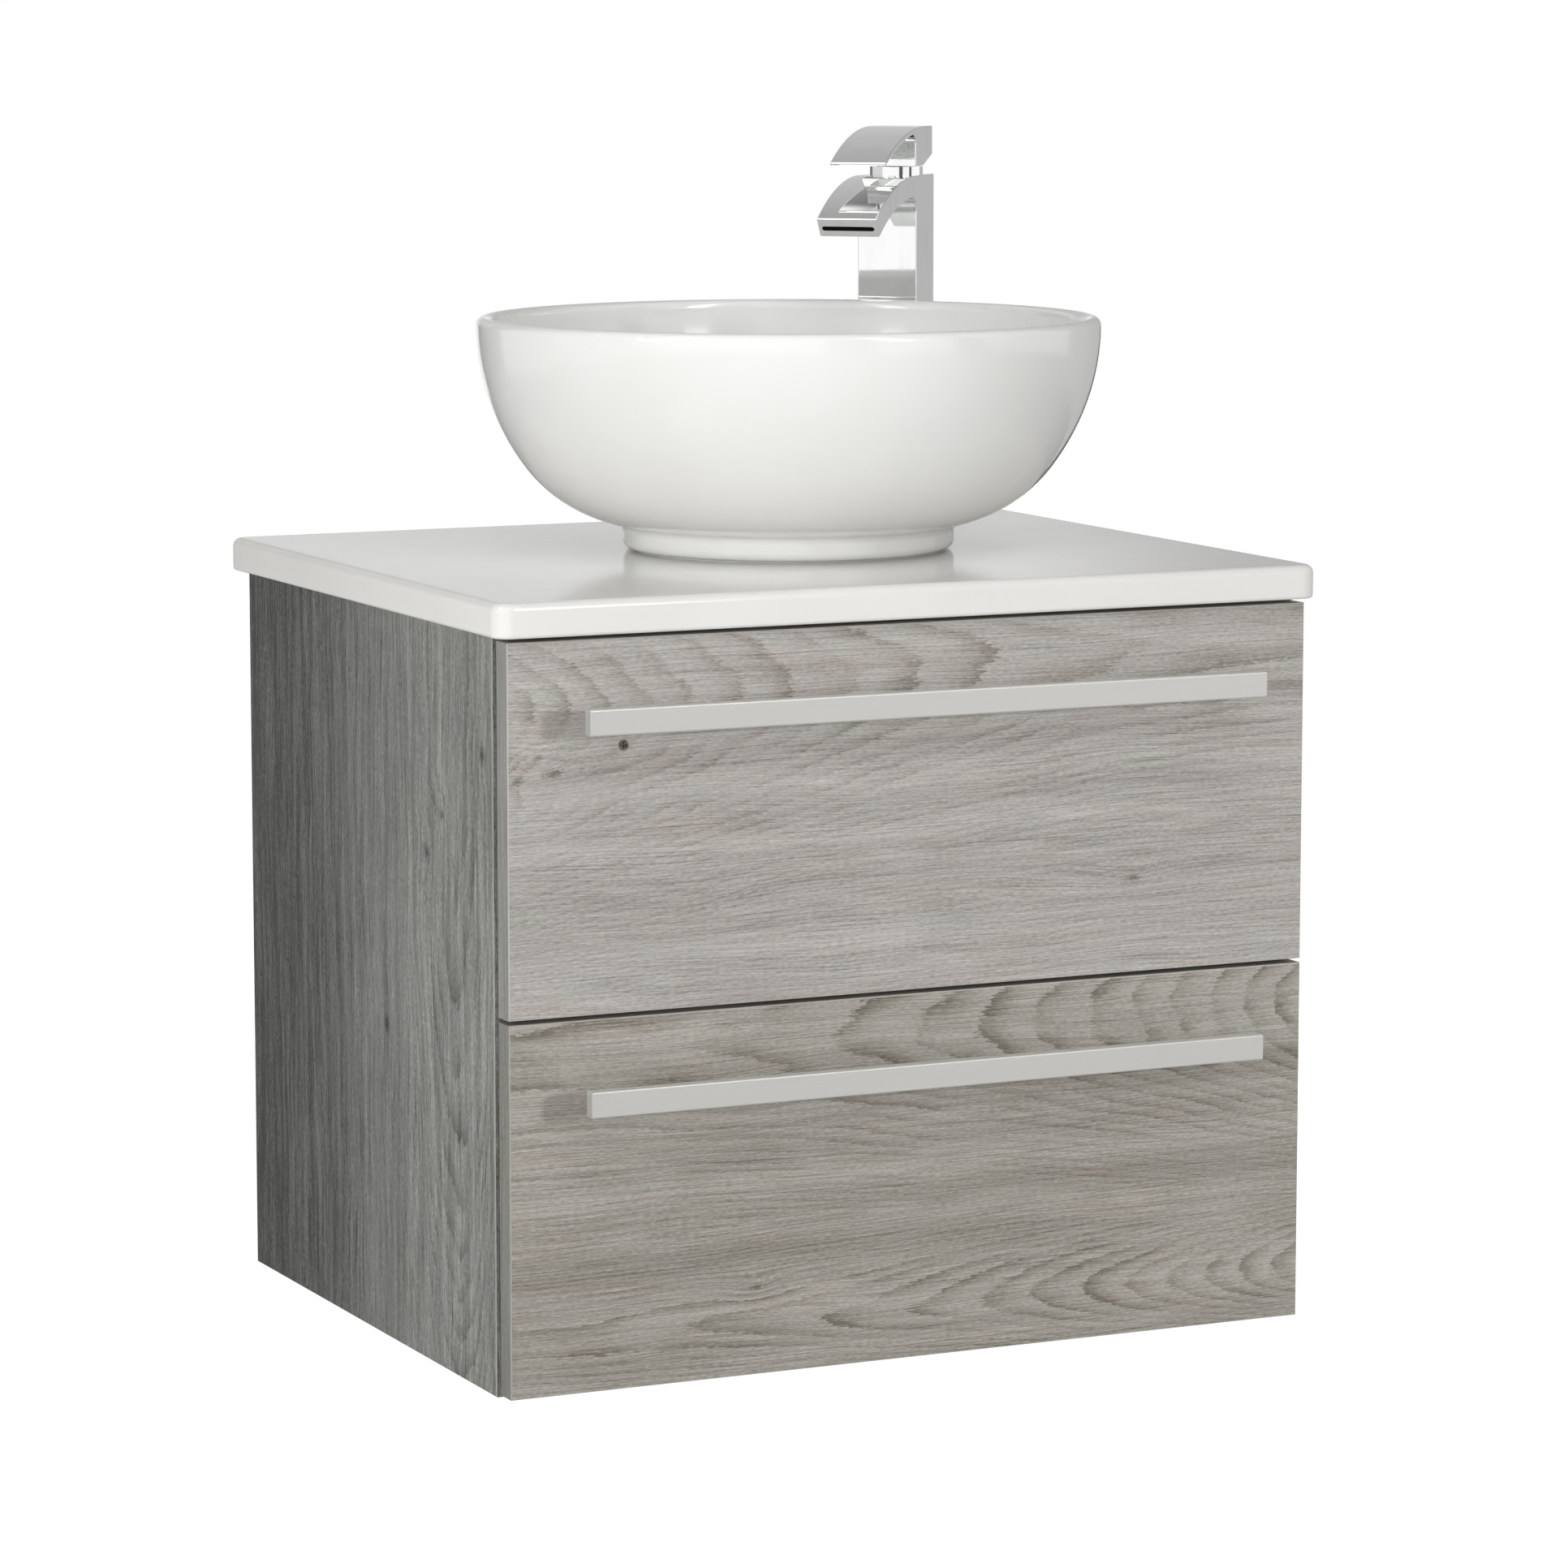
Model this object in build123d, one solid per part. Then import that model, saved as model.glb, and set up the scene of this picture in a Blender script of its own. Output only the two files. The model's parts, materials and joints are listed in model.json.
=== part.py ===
from build123d import *
import os
from math import atan2, cos, degrees, radians, sin, sqrt, tan

# Wall-hung vanity with two drawers, a white countertop, a round vessel basin and a tall waterfall tap.
# Millimetres. X runs to the right, Y to the wall and Z up. The origin lies on the wall, on the
# cabinet's centre line, level with its underside.

# Cutting pieces run past the faces that they cut, and found edges match within a tolerance
past = 1.0
match_tolerance = 0.01

# Carcass boards
cabinet_width = 600.0
carcass_height = 509.0
carcass_depth = 463.0
board = 18.0
top_rail_width = 80.0
hanging_rail_height = 80.0
hanging_rail_drop = 62.0
lower_rail_height = 90.0
dowel_radius = 4.0
dowel_in_rail = 20.0
dowel_in_side = 11.0
dowel_clearance = 0.05
dowel_end_gap = 0.4
panel_dowels = (0.15, 0.5, 0.85)
top_rail_dowels = (0.25, 0.75)
back_rail_dowels = (-0.28, 0.28)

# Wall fixing
wall_space = 24.0
batten_height = 70.0
batten_inset = 30.0
wall_bolt_spacing = 406.0
wall_bolt_radius = 4.5

# Drawer fronts
front_board = 18.0
front_gap = 2.7
front_edge = 0.7
side_reveal = 1.5
bottom_reveal = 2.0
top_reveal = 3.0
between_fronts = 3.0
lower_front_height = 251.5

# Handles
handle_length = 505.0
handle_height = 17.5
handle_depth = 10.0
handle_reach = 30.7
handle_drop = 51.5
handle_edge = 1.2
post_spacing = 448.0
post_width = 12.0
post_height = 9.0
handle_screw_radius = 2.0
handle_screw_bite = 12.0
handle_screw_head_radius = 4.5
handle_screw_head = 2.6
screw_clearance = 0.15

# Screw that shows in the upper front, below the handle's left end
face_screw_from_end = 82.5
face_screw_drop = 71.0
face_screw_head_radius = 3.6
face_screw_head = 2.2
face_screw_radius = 1.8
face_screw_length = 14.0
face_screw_recess = 1.1
face_screw_slot = 0.9
face_screw_cross = 4.3

# Drawer boxes
box_board = 15.0
base_board = 12.0
box_depth = 400.0
box_height = 150.0
box_rise = 20.0
trap_slot_width = 120.0
trap_slot_ahead = 60.0

# Telescopic runners
runner_length = 400.0
runner_middle_length = 380.0
runner_height = 45.0
runner_thickness = 12.7
runner_sheet = 1.2
runner_clearance = 0.4
runner_setback = 3.0
runner_lip = 1.0

# Countertop
countertop_thickness = 23.5
countertop_side_overhang = 7.0
countertop_front_overhang = 5.6
countertop_corner = 12.0
countertop_top_edge = 6.0
countertop_bottom_edge = 2.5
waste_hole_radius = 26.0
tap_hole_radius = 17.5

# Basin
basin_x = 26.0
basin_from_wall = 247.0
basin_radius = 221.4
basin_height = 164.0
basin_wall = 12.0
basin_bowl_depth = 187.0
basin_inner_depth = 172.0
foot_radius = 118.0
foot_wall = 16.0
foot_height = 16.7
foot_edge = 6.0
foot_turn = 5.0
bowl_turn_height = 60.0
floor_height = 31.0
floor_radius = 112.0
floor_fall = 2.5
floor_turn = 45.0
drain_radius = 23.0
drain_seat_margin = 2.0
foot_seal = 1.0
foot_seal_inset = 2.0

# Waste
waste_flange_radius = 32.0
waste_flange = 3.0
flange_seal = 2.0
flange_seal_inset = 1.0
tail_radius = 21.0
tail_wall = 3.0
tail_below_countertop = 40.0
waste_washer = 4.0
waste_washer_radius = 34.0
waste_nut = 12.0
waste_nut_flats = 60.0
thread_clearance = 0.2
spider_drop = 30.0
spider_thickness = 5.0
spider_arm = 4.0
spider_arms = 3
spider_bite = 2.0
hub_radius = 8.0
plug_radius = 28.5
plug_edge = 2.5
plug_dome = 4.0
plug_stem_radius = 4.5
plug_stem_length = 52.0
plug_seat_gap = 0.3
slide_clearance = 0.3

# Bottle trap
trap_nut_radius = 27.0
trap_nut_height = 24.0
trap_lip = 4.0
tube_radius = 16.0
tube_wall = 2.0
tube_collar = 4.6
trap_radius = 36.0
trap_wall = 3.0
trap_neck_radius = 23.0
trap_drop = 79.0
trap_neck = 18.0
trap_height = 72.0
trap_cup_depth = 38.0
trap_cup_wall = 3.0
trap_cup_overlap = 12.0
dip_above_bottom = 8.0
outlet_above_bottom = 35.0
stub_radius = 21.0
stub_reach = 58.0
outlet_nut_radius = 26.0
outlet_nut_length = 22.0
outlet_pipe_insert = 16.0
spigot_length = 50.0
spigot_groove = 1.5
spigot_groove_depth = 0.4

# Tap, heights from the countertop, lengths forward from the column's back
tap_from_right = 102.5
tap_from_wall = 56.7
column_size = 45.6
column_edge = 1.0
tap_seal = 1.5
tap_seal_inset = 3.0
body_height = 256.4
spout_radius = 193.0
spout_thickness = 16.0
spout_length = 147.0
spout_lip_lean = 9.0
spout_corner = 10.0
slot_width = 40.0
slot_height = 3.9
slot_depth = 26.0
slot_lift = 0.46
shank_radius = 16.0
shank_socket = 18.0
shank_below_countertop = 32.0
shank_nut = 10.0
shank_nut_flats = 46.0
inlet_radius = 4.75
inlet_depth = 18.0
inlet_spacing = 14.0
cartridge_radius = 17.5
cartridge_height = 40.0
collar_radius = 20.0
collar_height = 6.0
collar_skirt = 10.0
swivel_radius = 15.0
swivel_below_collar_top = 0.5
pivot_below_collar_top = 5.0
pivot_pin_radius = 1.5
pivot_pin_clearance = 0.06
pivot_pin_inset = 1.0
spindle_size = 8.0
spindle_below_pivot = 6.0
spindle_in_lever = 18.0
spindle_clearance = 0.05
spindle_swing_room = 4.5
spindle_tip_room = 1.0

# Tap lever
lever_width = 43.0
lever_gap = 0.8
lever_height = 29.0
lever_length = 119.0
lever_block = 43.0
lever_flat = 22.0
lever_radius = 205.0
lever_arm = 4.0
lever_tip = 2.6
lever_corner = 6.0
lever_edge = 1.0
lever_lift_angle = 18.0
lever_chamfer_spare = 0.6

# Planes that the pieces share
half_width = cabinet_width / 2
inner_half = half_width - board
carcass_back = -wall_space
carcass_front = carcass_back - carcass_depth
front_back = carcass_front - front_gap
front_face = front_back - front_board
face_screw_x = side_reveal - half_width + face_screw_from_end
countertop_top = carcass_height + countertop_thickness
basin_y = -basin_from_wall
tap_x = half_width + countertop_side_overhang - tap_from_right
tap_y = -tap_from_wall
box_half = inner_half - runner_thickness
box_inner_half = box_half - box_board
box_back = front_back + box_depth
upper_front_bottom = bottom_reveal + lower_front_height + between_fronts
upper_front_height = carcass_height - top_reveal - upper_front_bottom
hanging_rail_top = carcass_height - hanging_rail_drop
hanging_rail_bottom = hanging_rail_top - hanging_rail_height
tail_end = carcass_height - tail_below_countertop
trap_neck_top = tail_end - trap_drop
trap_shoulder = trap_neck_top - trap_neck
trap_body_bottom = trap_shoulder - trap_height
trap_cup_bottom = trap_body_bottom - trap_cup_depth
dip_end = trap_body_bottom + dip_above_bottom
outlet_height = trap_body_bottom + outlet_above_bottom

nodes = {}


def block(x, y, z):
    """A rectangular piece between a low and a high value on each axis."""
    size = (x[1] - x[0], y[1] - y[0], z[1] - z[0])
    return Pos(x[0], y[0], z[0]) * Box(*size, align=(Align.MIN, Align.MIN, Align.MIN))


def rod(radius, start, end):
    """A round bar from one point to another."""
    run = Vector(*end) - Vector(*start)
    bar = Cylinder(radius, run.length, align=(Align.CENTER, Align.CENTER, Align.MIN))
    return Plane(origin=start, z_dir=run) * bar


def upright(radius, low, high, x=0.0, y=0.0):
    """A round bar that stands on end."""
    return rod(radius, (x, y, low), (x, y, high))


def hex_nut(flats, bore, low, high, x, y):
    """A hexagon nut round an upright tube."""
    outline = RegularPolygon(flats / 2, 6, major_radius=False)
    prism = extrude(Pos(x, y, low) * outline, high - low)
    return prism - upright(bore, low - past, high + past, x, y)


def mirrored(sign, near, far):
    """A low and high X value on one side of the centre line."""
    return tuple(sorted((sign * near, sign * far)))


def centred(middle, width):
    return (middle - width / 2, middle + width / 2)


def make_carcass():
    """Sides, bottom, rails and the dowels that join them."""
    depth = (carcass_front, carcass_back)
    between = (-inner_half, inner_half)
    rail_depth = (carcass_back - board, carcass_back)
    sides = {
        -1: block(mirrored(-1, inner_half, half_width), depth, (0, carcass_height)),
        1: block(mirrored(1, inner_half, half_width), depth, (0, carcass_height)),
    }
    top_rail_depth = (carcass_front, carcass_front + top_rail_width)
    rails = {
        "bottom_panel": block(between, depth, (0, board)),
        "top_front_rail": block(between, top_rail_depth, (carcass_height - board, carcass_height)),
        "hanging_rail": block(between, rail_depth, (hanging_rail_bottom, hanging_rail_top)),
        "lower_back_rail": block(between, rail_depth, (board, board + lower_rail_height)),
    }
    rail_middle = carcass_back - board / 2
    hanging_middle = (hanging_rail_bottom + hanging_rail_top) / 2
    lower_middle = board + lower_rail_height / 2
    top_middle = carcass_height - board / 2
    spots = {
        "bottom_panel": [(carcass_front + carcass_depth * p, board / 2) for p in panel_dowels],
        "top_front_rail": [(carcass_front + top_rail_width * p, top_middle) for p in top_rail_dowels],
        "hanging_rail": [(rail_middle, hanging_middle + hanging_rail_height * p) for p in back_rail_dowels],
        "lower_back_rail": [(rail_middle, lower_middle + lower_rail_height * p) for p in back_rail_dowels],
    }
    dowels = []
    for rail, places in spots.items():
        for y, z in places:
            for sign in (-1, 1):
                start = (sign * (inner_half - dowel_in_rail), y, z)
                end = (sign * (inner_half + dowel_in_side), y, z)
                hole_start = (sign * (inner_half - dowel_in_rail - dowel_end_gap), y, z)
                hole_end = (sign * (inner_half + dowel_in_side + dowel_end_gap), y, z)
                hole = rod(dowel_radius + dowel_clearance, hole_start, hole_end)
                rails[rail] -= hole
                sides[sign] -= hole
                dowels.append(rod(dowel_radius, start, end))
    nodes["left_side_panel"] = [sides[-1]]
    nodes["right_side_panel"] = [sides[1]]
    nodes["carcass_dowels"] = dowels

    # Two battens carry the cabinet on the wall, bolted through the back rails
    batten_width = (-inner_half + batten_inset, inner_half - batten_inset)
    upper_batten = block(batten_width, (carcass_back, 0), centred(hanging_middle, batten_height))
    lower_batten = block(batten_width, (carcass_back, 0), (0, batten_height))
    lower_bolt_height = (board + batten_height) / 2
    for sign in (-1, 1):
        x = sign * wall_bolt_spacing / 2
        start = carcass_back - board - past
        upper_hole = rod(wall_bolt_radius, (x, start, hanging_middle), (x, past, hanging_middle))
        lower_hole = rod(wall_bolt_radius, (x, start, lower_bolt_height), (x, past, lower_bolt_height))
        upper_batten -= upper_hole
        lower_batten -= lower_hole
        rails["hanging_rail"] -= upper_hole
        rails["lower_back_rail"] -= lower_hole
    for rail, solid in rails.items():
        nodes[rail] = [solid]
    nodes["wall_battens"] = [upper_batten, lower_batten]


def channel(sign, web, reach, height, middle, along):
    """A folded sheet channel: web and reach are distances from the cabinet's side."""
    low, high = sorted((web, reach))
    outside = block(mirrored(sign, inner_half - high, inner_half - low), along, centred(middle, height))
    if web < reach:
        low += runner_sheet
        high += past
    else:
        low -= past
        high -= runner_sheet
    pocket_height = centred(middle, height - 2 * runner_sheet)
    past_ends = (along[0] - past, along[1] + past)
    return outside - block(mirrored(sign, inner_half - high, inner_half - low), past_ends, pocket_height)


def make_runners(name, middle):
    """Left and right telescopic runners: three channels, one inside another."""
    start = carcass_front + runner_setback
    nest = runner_sheet + runner_clearance
    full = (start, start + runner_length)
    short = (start, start + runner_middle_length)
    outer, centre, inner = [], [], []
    for sign in (-1, 1):
        outer.append(channel(sign, 0, runner_thickness - runner_lip, runner_height, middle, full))
        reach = runner_thickness - runner_lip - runner_clearance
        centre.append(channel(sign, nest, reach, runner_height - 2 * nest, middle, short))
        inner.append(channel(sign, runner_thickness, 2 * nest, runner_height - 4 * nest, middle, full))
    nodes[f"{name}_runner_outer"] = outer
    nodes[f"{name}_runner_middle"] = centre
    nodes[f"{name}_runner_inner"] = inner


def make_handle(name, front, middle):
    """A flat bar on two posts, held by screws from behind the front. Gives back the drilled front."""
    bar_front = front_face - handle_reach
    bar_back = bar_front + handle_depth
    bar = block(centred(0, handle_length), (bar_front, bar_back), centred(middle, handle_height))
    bar = fillet(bar.edges(), handle_edge)
    posts, screws = [], []
    for sign in (-1, 1):
        x = sign * post_spacing / 2
        post = block(centred(x, post_width), (bar_back, front_face), centred(middle, post_height))
        tip = front_face - handle_screw_bite
        shaft = rod(handle_screw_radius, (x, front_back, middle), (x, tip, middle))
        head_end = front_back + handle_screw_head
        head = rod(handle_screw_head_radius, (x, front_back, middle), (x, head_end, middle))
        hole_radius = handle_screw_radius + screw_clearance
        hole = rod(hole_radius, (x, front_back + past, middle), (x, tip - screw_clearance, middle))
        front -= hole
        posts.append(post - hole)
        screws.append(shaft + head)
    nodes[f"{name}_handle_bar"] = [bar]
    nodes[f"{name}_handle_posts"] = posts
    nodes[f"{name}_handle_screws"] = screws
    return front


def make_face_screw(front, top):
    """A countersunk cross-head screw in the front's face. Gives back the drilled front."""
    z = top - face_screw_drop
    head_end = front_face + face_screw_head
    tip = front_face + face_screw_length
    seat = Plane(origin=(face_screw_x, front_face, z), z_dir=(0, 1, 0))
    cone_place = seat.offset(face_screw_head / 2)
    head = cone_place * Cone(face_screw_head_radius, face_screw_radius, face_screw_head)
    sink_radius = face_screw_head_radius + screw_clearance
    shaft_radius = face_screw_radius + screw_clearance
    sink = cone_place * Cone(sink_radius, shaft_radius, face_screw_head)
    shaft = rod(face_screw_radius, (face_screw_x, head_end, z), (face_screw_x, tip, z))
    hole_start = (face_screw_x, front_face - past, z)
    hole = rod(shaft_radius, hole_start, (face_screw_x, tip + screw_clearance, z))
    recess = (front_face - past, front_face + face_screw_recess)
    flat_arm = block(centred(face_screw_x, face_screw_cross), recess, centred(z, face_screw_slot))
    tall_arm = block(centred(face_screw_x, face_screw_slot), recess, centred(z, face_screw_cross))
    nodes["front_screw"] = [head + shaft - flat_arm - tall_arm]
    return front - sink - hole


def make_drawer(name, front_bottom, front_height):
    """Front, sides, base and back of one drawer, with its handle and runners."""
    front_top = front_bottom + front_height
    low = front_bottom + box_rise
    floor = low + base_board
    top = low + box_height
    along = (front_back, box_back)
    front_width = (-half_width + side_reveal, half_width - side_reveal)
    front = block(front_width, (front_face, front_back), (front_bottom, front_top))
    front = chamfer(front.faces().sort_by(Axis.Y)[0].edges(), front_edge)
    front = make_handle(name, front, front_top - handle_drop)
    if name == "upper":
        front = make_face_screw(front, front_top)
    nodes[f"{name}_front"] = [front]
    nodes[f"{name}_side_left"] = [block(mirrored(-1, box_inner_half, box_half), along, (low, top))]
    nodes[f"{name}_side_right"] = [block(mirrored(1, box_inner_half, box_half), along, (low, top))]
    base = block((-box_inner_half, box_inner_half), along, (low, floor))
    back = (box_back - box_board, box_back)
    if name == "upper":
        make_trap_walls(base, back, (floor, top))
    else:
        nodes["lower_base"] = [base]
        nodes["lower_back"] = [block((-box_inner_half, box_inner_half), back, (floor, top))]
    make_runners(name, (low + top) / 2)


def make_trap_walls(base, back, tall):
    """The upper drawer's base and back, cut away in a U round the trap, with the walls of the U."""
    slot = centred(basin_x, trap_slot_width)
    outside = (slot[0] - box_board, slot[1] + box_board)
    slot_front = basin_y - trap_slot_ahead
    base_height = (tall[0] - base_board - past, tall[0] + past)
    nodes["upper_base"] = [base - block(slot, (slot_front, box_back + past), base_height)]
    nodes["trap_wall_front"] = [block(outside, (slot_front - box_board, slot_front), tall)]
    nodes["trap_wall_left"] = [block((outside[0], slot[0]), (slot_front, box_back), tall)]
    nodes["trap_wall_right"] = [block((slot[1], outside[1]), (slot_front, box_back), tall)]
    nodes["upper_back_left"] = [block((-box_inner_half, outside[0]), back, tall)]
    nodes["upper_back_right"] = [block((outside[1], box_inner_half), back, tall)]


def make_countertop():
    """A white slab with rounded corners and edges, bored for the waste and the tap."""
    width = cabinet_width + 2 * countertop_side_overhang
    depth = countertop_front_overhang - front_face
    outline = Pos(0, -depth / 2, carcass_height) * RectangleRounded(width, depth, countertop_corner)
    slab = extrude(outline, countertop_thickness)
    slab = fillet(slab.faces().sort_by(Axis.Z)[-1].edges(), countertop_top_edge)
    slab = fillet(slab.faces().sort_by(Axis.Z)[0].edges(), countertop_bottom_edge)
    low, high = carcass_height - past, countertop_top + past
    slab -= upright(waste_hole_radius, low, high, basin_x, basin_y)
    slab -= upright(tap_hole_radius, low, high, tap_x, tap_y)
    nodes["countertop"] = [slab]


def ellipse_radius(across, depth, drop):
    """Radius of a bowl of half-ellipse section at a depth below its widest level."""
    return across * sqrt(1 - (drop / depth) ** 2)


def make_basin():
    """A round bowl with a rolled rim on a narrower hollow foot, revolved about its own axis."""
    widest = basin_height - basin_wall / 2
    inside = basin_radius - basin_wall
    turn_radius = ellipse_radius(basin_radius, basin_bowl_depth, widest - bowl_turn_height)
    wall_foot = floor_height + floor_turn / 2
    wall_radius = ellipse_radius(inside, basin_inner_depth, widest - wall_foot)
    outer_angle = degrees(atan2(-(widest - bowl_turn_height) / basin_bowl_depth, turn_radius / basin_radius))
    inner_angle = degrees(atan2(-(widest - wall_foot) / basin_inner_depth, wall_radius / inside))
    centre = (0, widest)
    outer_size = {"start_angle": outer_angle, "arc_size": -outer_angle}
    inner_size = {"start_angle": inner_angle, "arc_size": -inner_angle}
    outer_wall = EllipticalCenterArc(centre, basin_radius, basin_bowl_depth, **outer_size)
    inner_wall = EllipticalCenterArc(centre, inside, basin_inner_depth, **inner_size)
    rim_top = (basin_radius - basin_wall / 2, basin_height)
    rim = ThreePointArc((basin_radius, widest), rim_top, (inside, widest))
    outer_slope = outer_wall.tangent_at(0) * -1
    bowl_turn = TangentArc(outer_wall @ 0, (foot_radius, foot_height), tangent=outer_slope)
    drain_level = floor_height - floor_fall
    wall_slope = inner_wall.tangent_at(0) * -1
    floor_rise = TangentArc(inner_wall @ 0, (floor_radius, floor_height), tangent=wall_slope)
    underside = drain_level - basin_wall
    rest = Polyline(
        (floor_radius, floor_height),
        (waste_flange_radius + drain_seat_margin, drain_level),
        (drain_radius, drain_level),
        (drain_radius, underside),
        (foot_radius - foot_wall, underside),
        (foot_radius - foot_wall, 0),
        (foot_radius, 0),
        (foot_radius, foot_height),
    )
    section = make_face([outer_wall, rim, inner_wall, floor_rise, rest, bowl_turn])
    bowl = revolve(Plane.XZ * section, Axis.Z)
    foot_ring = bowl.edges().filter_by(GeomType.CIRCLE).group_by(Axis.Z)[0].sort_by(SortBy.RADIUS)[-1]
    bowl = fillet(foot_ring, foot_edge)
    rings = bowl.edges().filter_by(GeomType.CIRCLE)
    neck = rings.filter_by_position(Axis.Z, *centred(foot_height, match_tolerance))
    bowl = fillet(neck, foot_turn)
    seat = countertop_top + foot_seal
    nodes["basin"] = [Pos(basin_x, basin_y, seat) * bowl]
    seal_outer = foot_radius - foot_edge - foot_seal_inset
    seal_inner = foot_radius - foot_wall + foot_seal_inset
    seal = upright(seal_outer, countertop_top, seat, basin_x, basin_y)
    seal -= upright(seal_inner, countertop_top - past, seat + past, basin_x, basin_y)
    nodes["basin_foot_seal"] = [seal]


def make_waste():
    """Flanged waste through basin and countertop, with its seals, nut and push-down plug."""
    drain = countertop_top + foot_seal + floor_height - floor_fall
    flange_low = drain + flange_seal
    flange_high = flange_low + waste_flange
    bore = tail_radius - tail_wall
    at = {"x": basin_x, "y": basin_y}
    body = upright(waste_flange_radius, flange_low, flange_high, **at)
    body += upright(tail_radius, tail_end, flange_high, **at)
    body -= upright(bore, tail_end - past, flange_high + past, **at)

    # Arms carry a hub that guides the plug's stem
    spider_high = flange_high - spider_drop
    spider_low = spider_high - spider_thickness
    arm_align = (Align.MIN, Align.CENTER, Align.MIN)
    arm = Box(bore + spider_bite, spider_arm, spider_thickness, align=arm_align)
    for turn in range(spider_arms):
        body += Pos(basin_x, basin_y, spider_low) * Rot(0, 0, 360 / spider_arms * turn) * arm
    body += upright(hub_radius, spider_low, spider_high, **at)
    body -= upright(plug_stem_radius + slide_clearance, spider_low - past, spider_high + past, **at)
    nodes["waste_body"] = [body]

    round_tail = tail_radius + thread_clearance
    seal = upright(waste_flange_radius - flange_seal_inset, drain, flange_low, **at)
    seal -= upright(round_tail, drain - past, flange_low + past, **at)
    nodes["waste_flange_seal"] = [seal]
    washer_low = carcass_height - waste_washer
    washer = upright(waste_washer_radius, washer_low, carcass_height, **at)
    washer -= upright(round_tail, washer_low - past, carcass_height + past, **at)
    nodes["waste_washer"] = [washer]
    nut_low = washer_low - waste_nut
    nodes["waste_backnut"] = [hex_nut(waste_nut_flats, round_tail, nut_low, washer_low, basin_x, basin_y)]

    cap_low = flange_high + plug_seat_gap
    cap_side = cap_low + plug_edge
    crown = (0, cap_side + plug_dome)
    edge = (plug_radius, cap_side)
    sides = Polyline(crown, (0, cap_low), (plug_radius, cap_low), edge)
    cap_outline = make_face([sides, TangentArc(crown, edge, tangent=(1, 0))])
    cap = Pos(basin_x, basin_y, 0) * revolve(Plane.XZ * cap_outline, Axis.Z)
    stem = upright(plug_stem_radius, cap_low - plug_stem_length, cap_low, **at)
    nodes["waste_plug"] = [cap + stem]


def outlet_rod(radius, start, end):
    """A round bar on the outlet pipe's axis, between two distances from the wall."""
    return rod(radius, (basin_x, start, outlet_height), (basin_x, end, outlet_height))


def make_trap():
    """Bottle trap below the waste, with its dip tube and the outlet pipe to the wall."""
    at = {"x": basin_x, "y": basin_y}
    seat = tail_end - tube_collar - thread_clearance
    nut_low = seat - trap_lip
    nut_high = nut_low + trap_nut_height
    fit_radius = tube_radius + thread_clearance
    nut = upright(trap_nut_radius, nut_low, nut_high, **at)
    nut -= upright(tail_radius + thread_clearance, seat, nut_high + past, **at)
    nut -= upright(fit_radius, nut_low - past, seat + past, **at)
    nodes["trap_inlet_nut"] = [nut]

    tube = upright(tail_radius, seat, seat + tube_collar, **at)
    tube += upright(tube_radius, dip_end, seat, **at)
    tube -= upright(tube_radius - tube_wall, dip_end - past, seat + tube_collar + past, **at)
    nodes["trap_dip_tube"] = [tube]

    stub_end = basin_y + stub_reach
    bottle = upright(trap_radius, trap_body_bottom, trap_shoulder, **at)
    bottle += upright(trap_neck_radius, trap_shoulder, trap_neck_top, **at)
    bottle += outlet_rod(stub_radius, basin_y, stub_end)
    inside_top = trap_shoulder - trap_wall
    bottle -= upright(trap_radius - trap_wall, trap_body_bottom - past, inside_top, **at)
    bottle -= upright(fit_radius, inside_top - past, trap_neck_top + past, **at)
    bottle -= outlet_rod(fit_radius, basin_y, stub_end + past)
    nodes["trap_body"] = [bottle]

    cup_top = trap_body_bottom + trap_cup_overlap
    socket = trap_radius + thread_clearance
    cup = upright(socket + trap_cup_wall, trap_cup_bottom, cup_top, **at)
    cup -= upright(socket, trap_body_bottom, cup_top + past, **at)
    cup_floor = trap_cup_bottom + trap_cup_wall
    cup -= upright(trap_radius - trap_wall, cup_floor, trap_body_bottom + past, **at)
    nodes["trap_cup"] = [cup]

    nut_end = stub_end + trap_lip
    nut_start = nut_end - outlet_nut_length
    ring = outlet_rod(outlet_nut_radius, nut_start, nut_end)
    ring -= outlet_rod(stub_radius + thread_clearance, nut_start - past, stub_end)
    ring -= outlet_rod(fit_radius, stub_end - past, nut_end + past)
    nodes["trap_outlet_nut"] = [ring]

    pipe_start = stub_end - outlet_pipe_insert
    pipe = outlet_rod(tube_radius, pipe_start, 0)
    pipe -= outlet_rod(tube_radius - tube_wall, pipe_start - past, past)

    # A shallow groove marks how far the pipe goes into its socket
    groove_start = -spigot_length - spigot_groove
    groove = outlet_rod(tube_radius + past, groove_start, -spigot_length)
    pipe -= groove - outlet_rod(tube_radius - spigot_groove_depth, groove_start, -spigot_length)
    nodes["outlet_pipe"] = [pipe]


def tap_place():
    """The tap stands in the rear corner, turned to face the basin's centre."""
    ahead_x = basin_x - tap_x
    ahead_y = basin_y - tap_y
    heading = degrees(atan2(ahead_x, -ahead_y))
    return Pos(tap_x, tap_y, countertop_top) * Rot(0, 0, heading)


def side_plane(width):
    """Plane of a side outline: its X runs forward from the column's back, its Y runs up."""
    return Plane(origin=(width / 2, column_size / 2, 0), x_dir=(0, -1, 0), z_dir=(-1, 0, 0))


def arc_drop(radius, run):
    return radius - sqrt(radius**2 - run**2)


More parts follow.
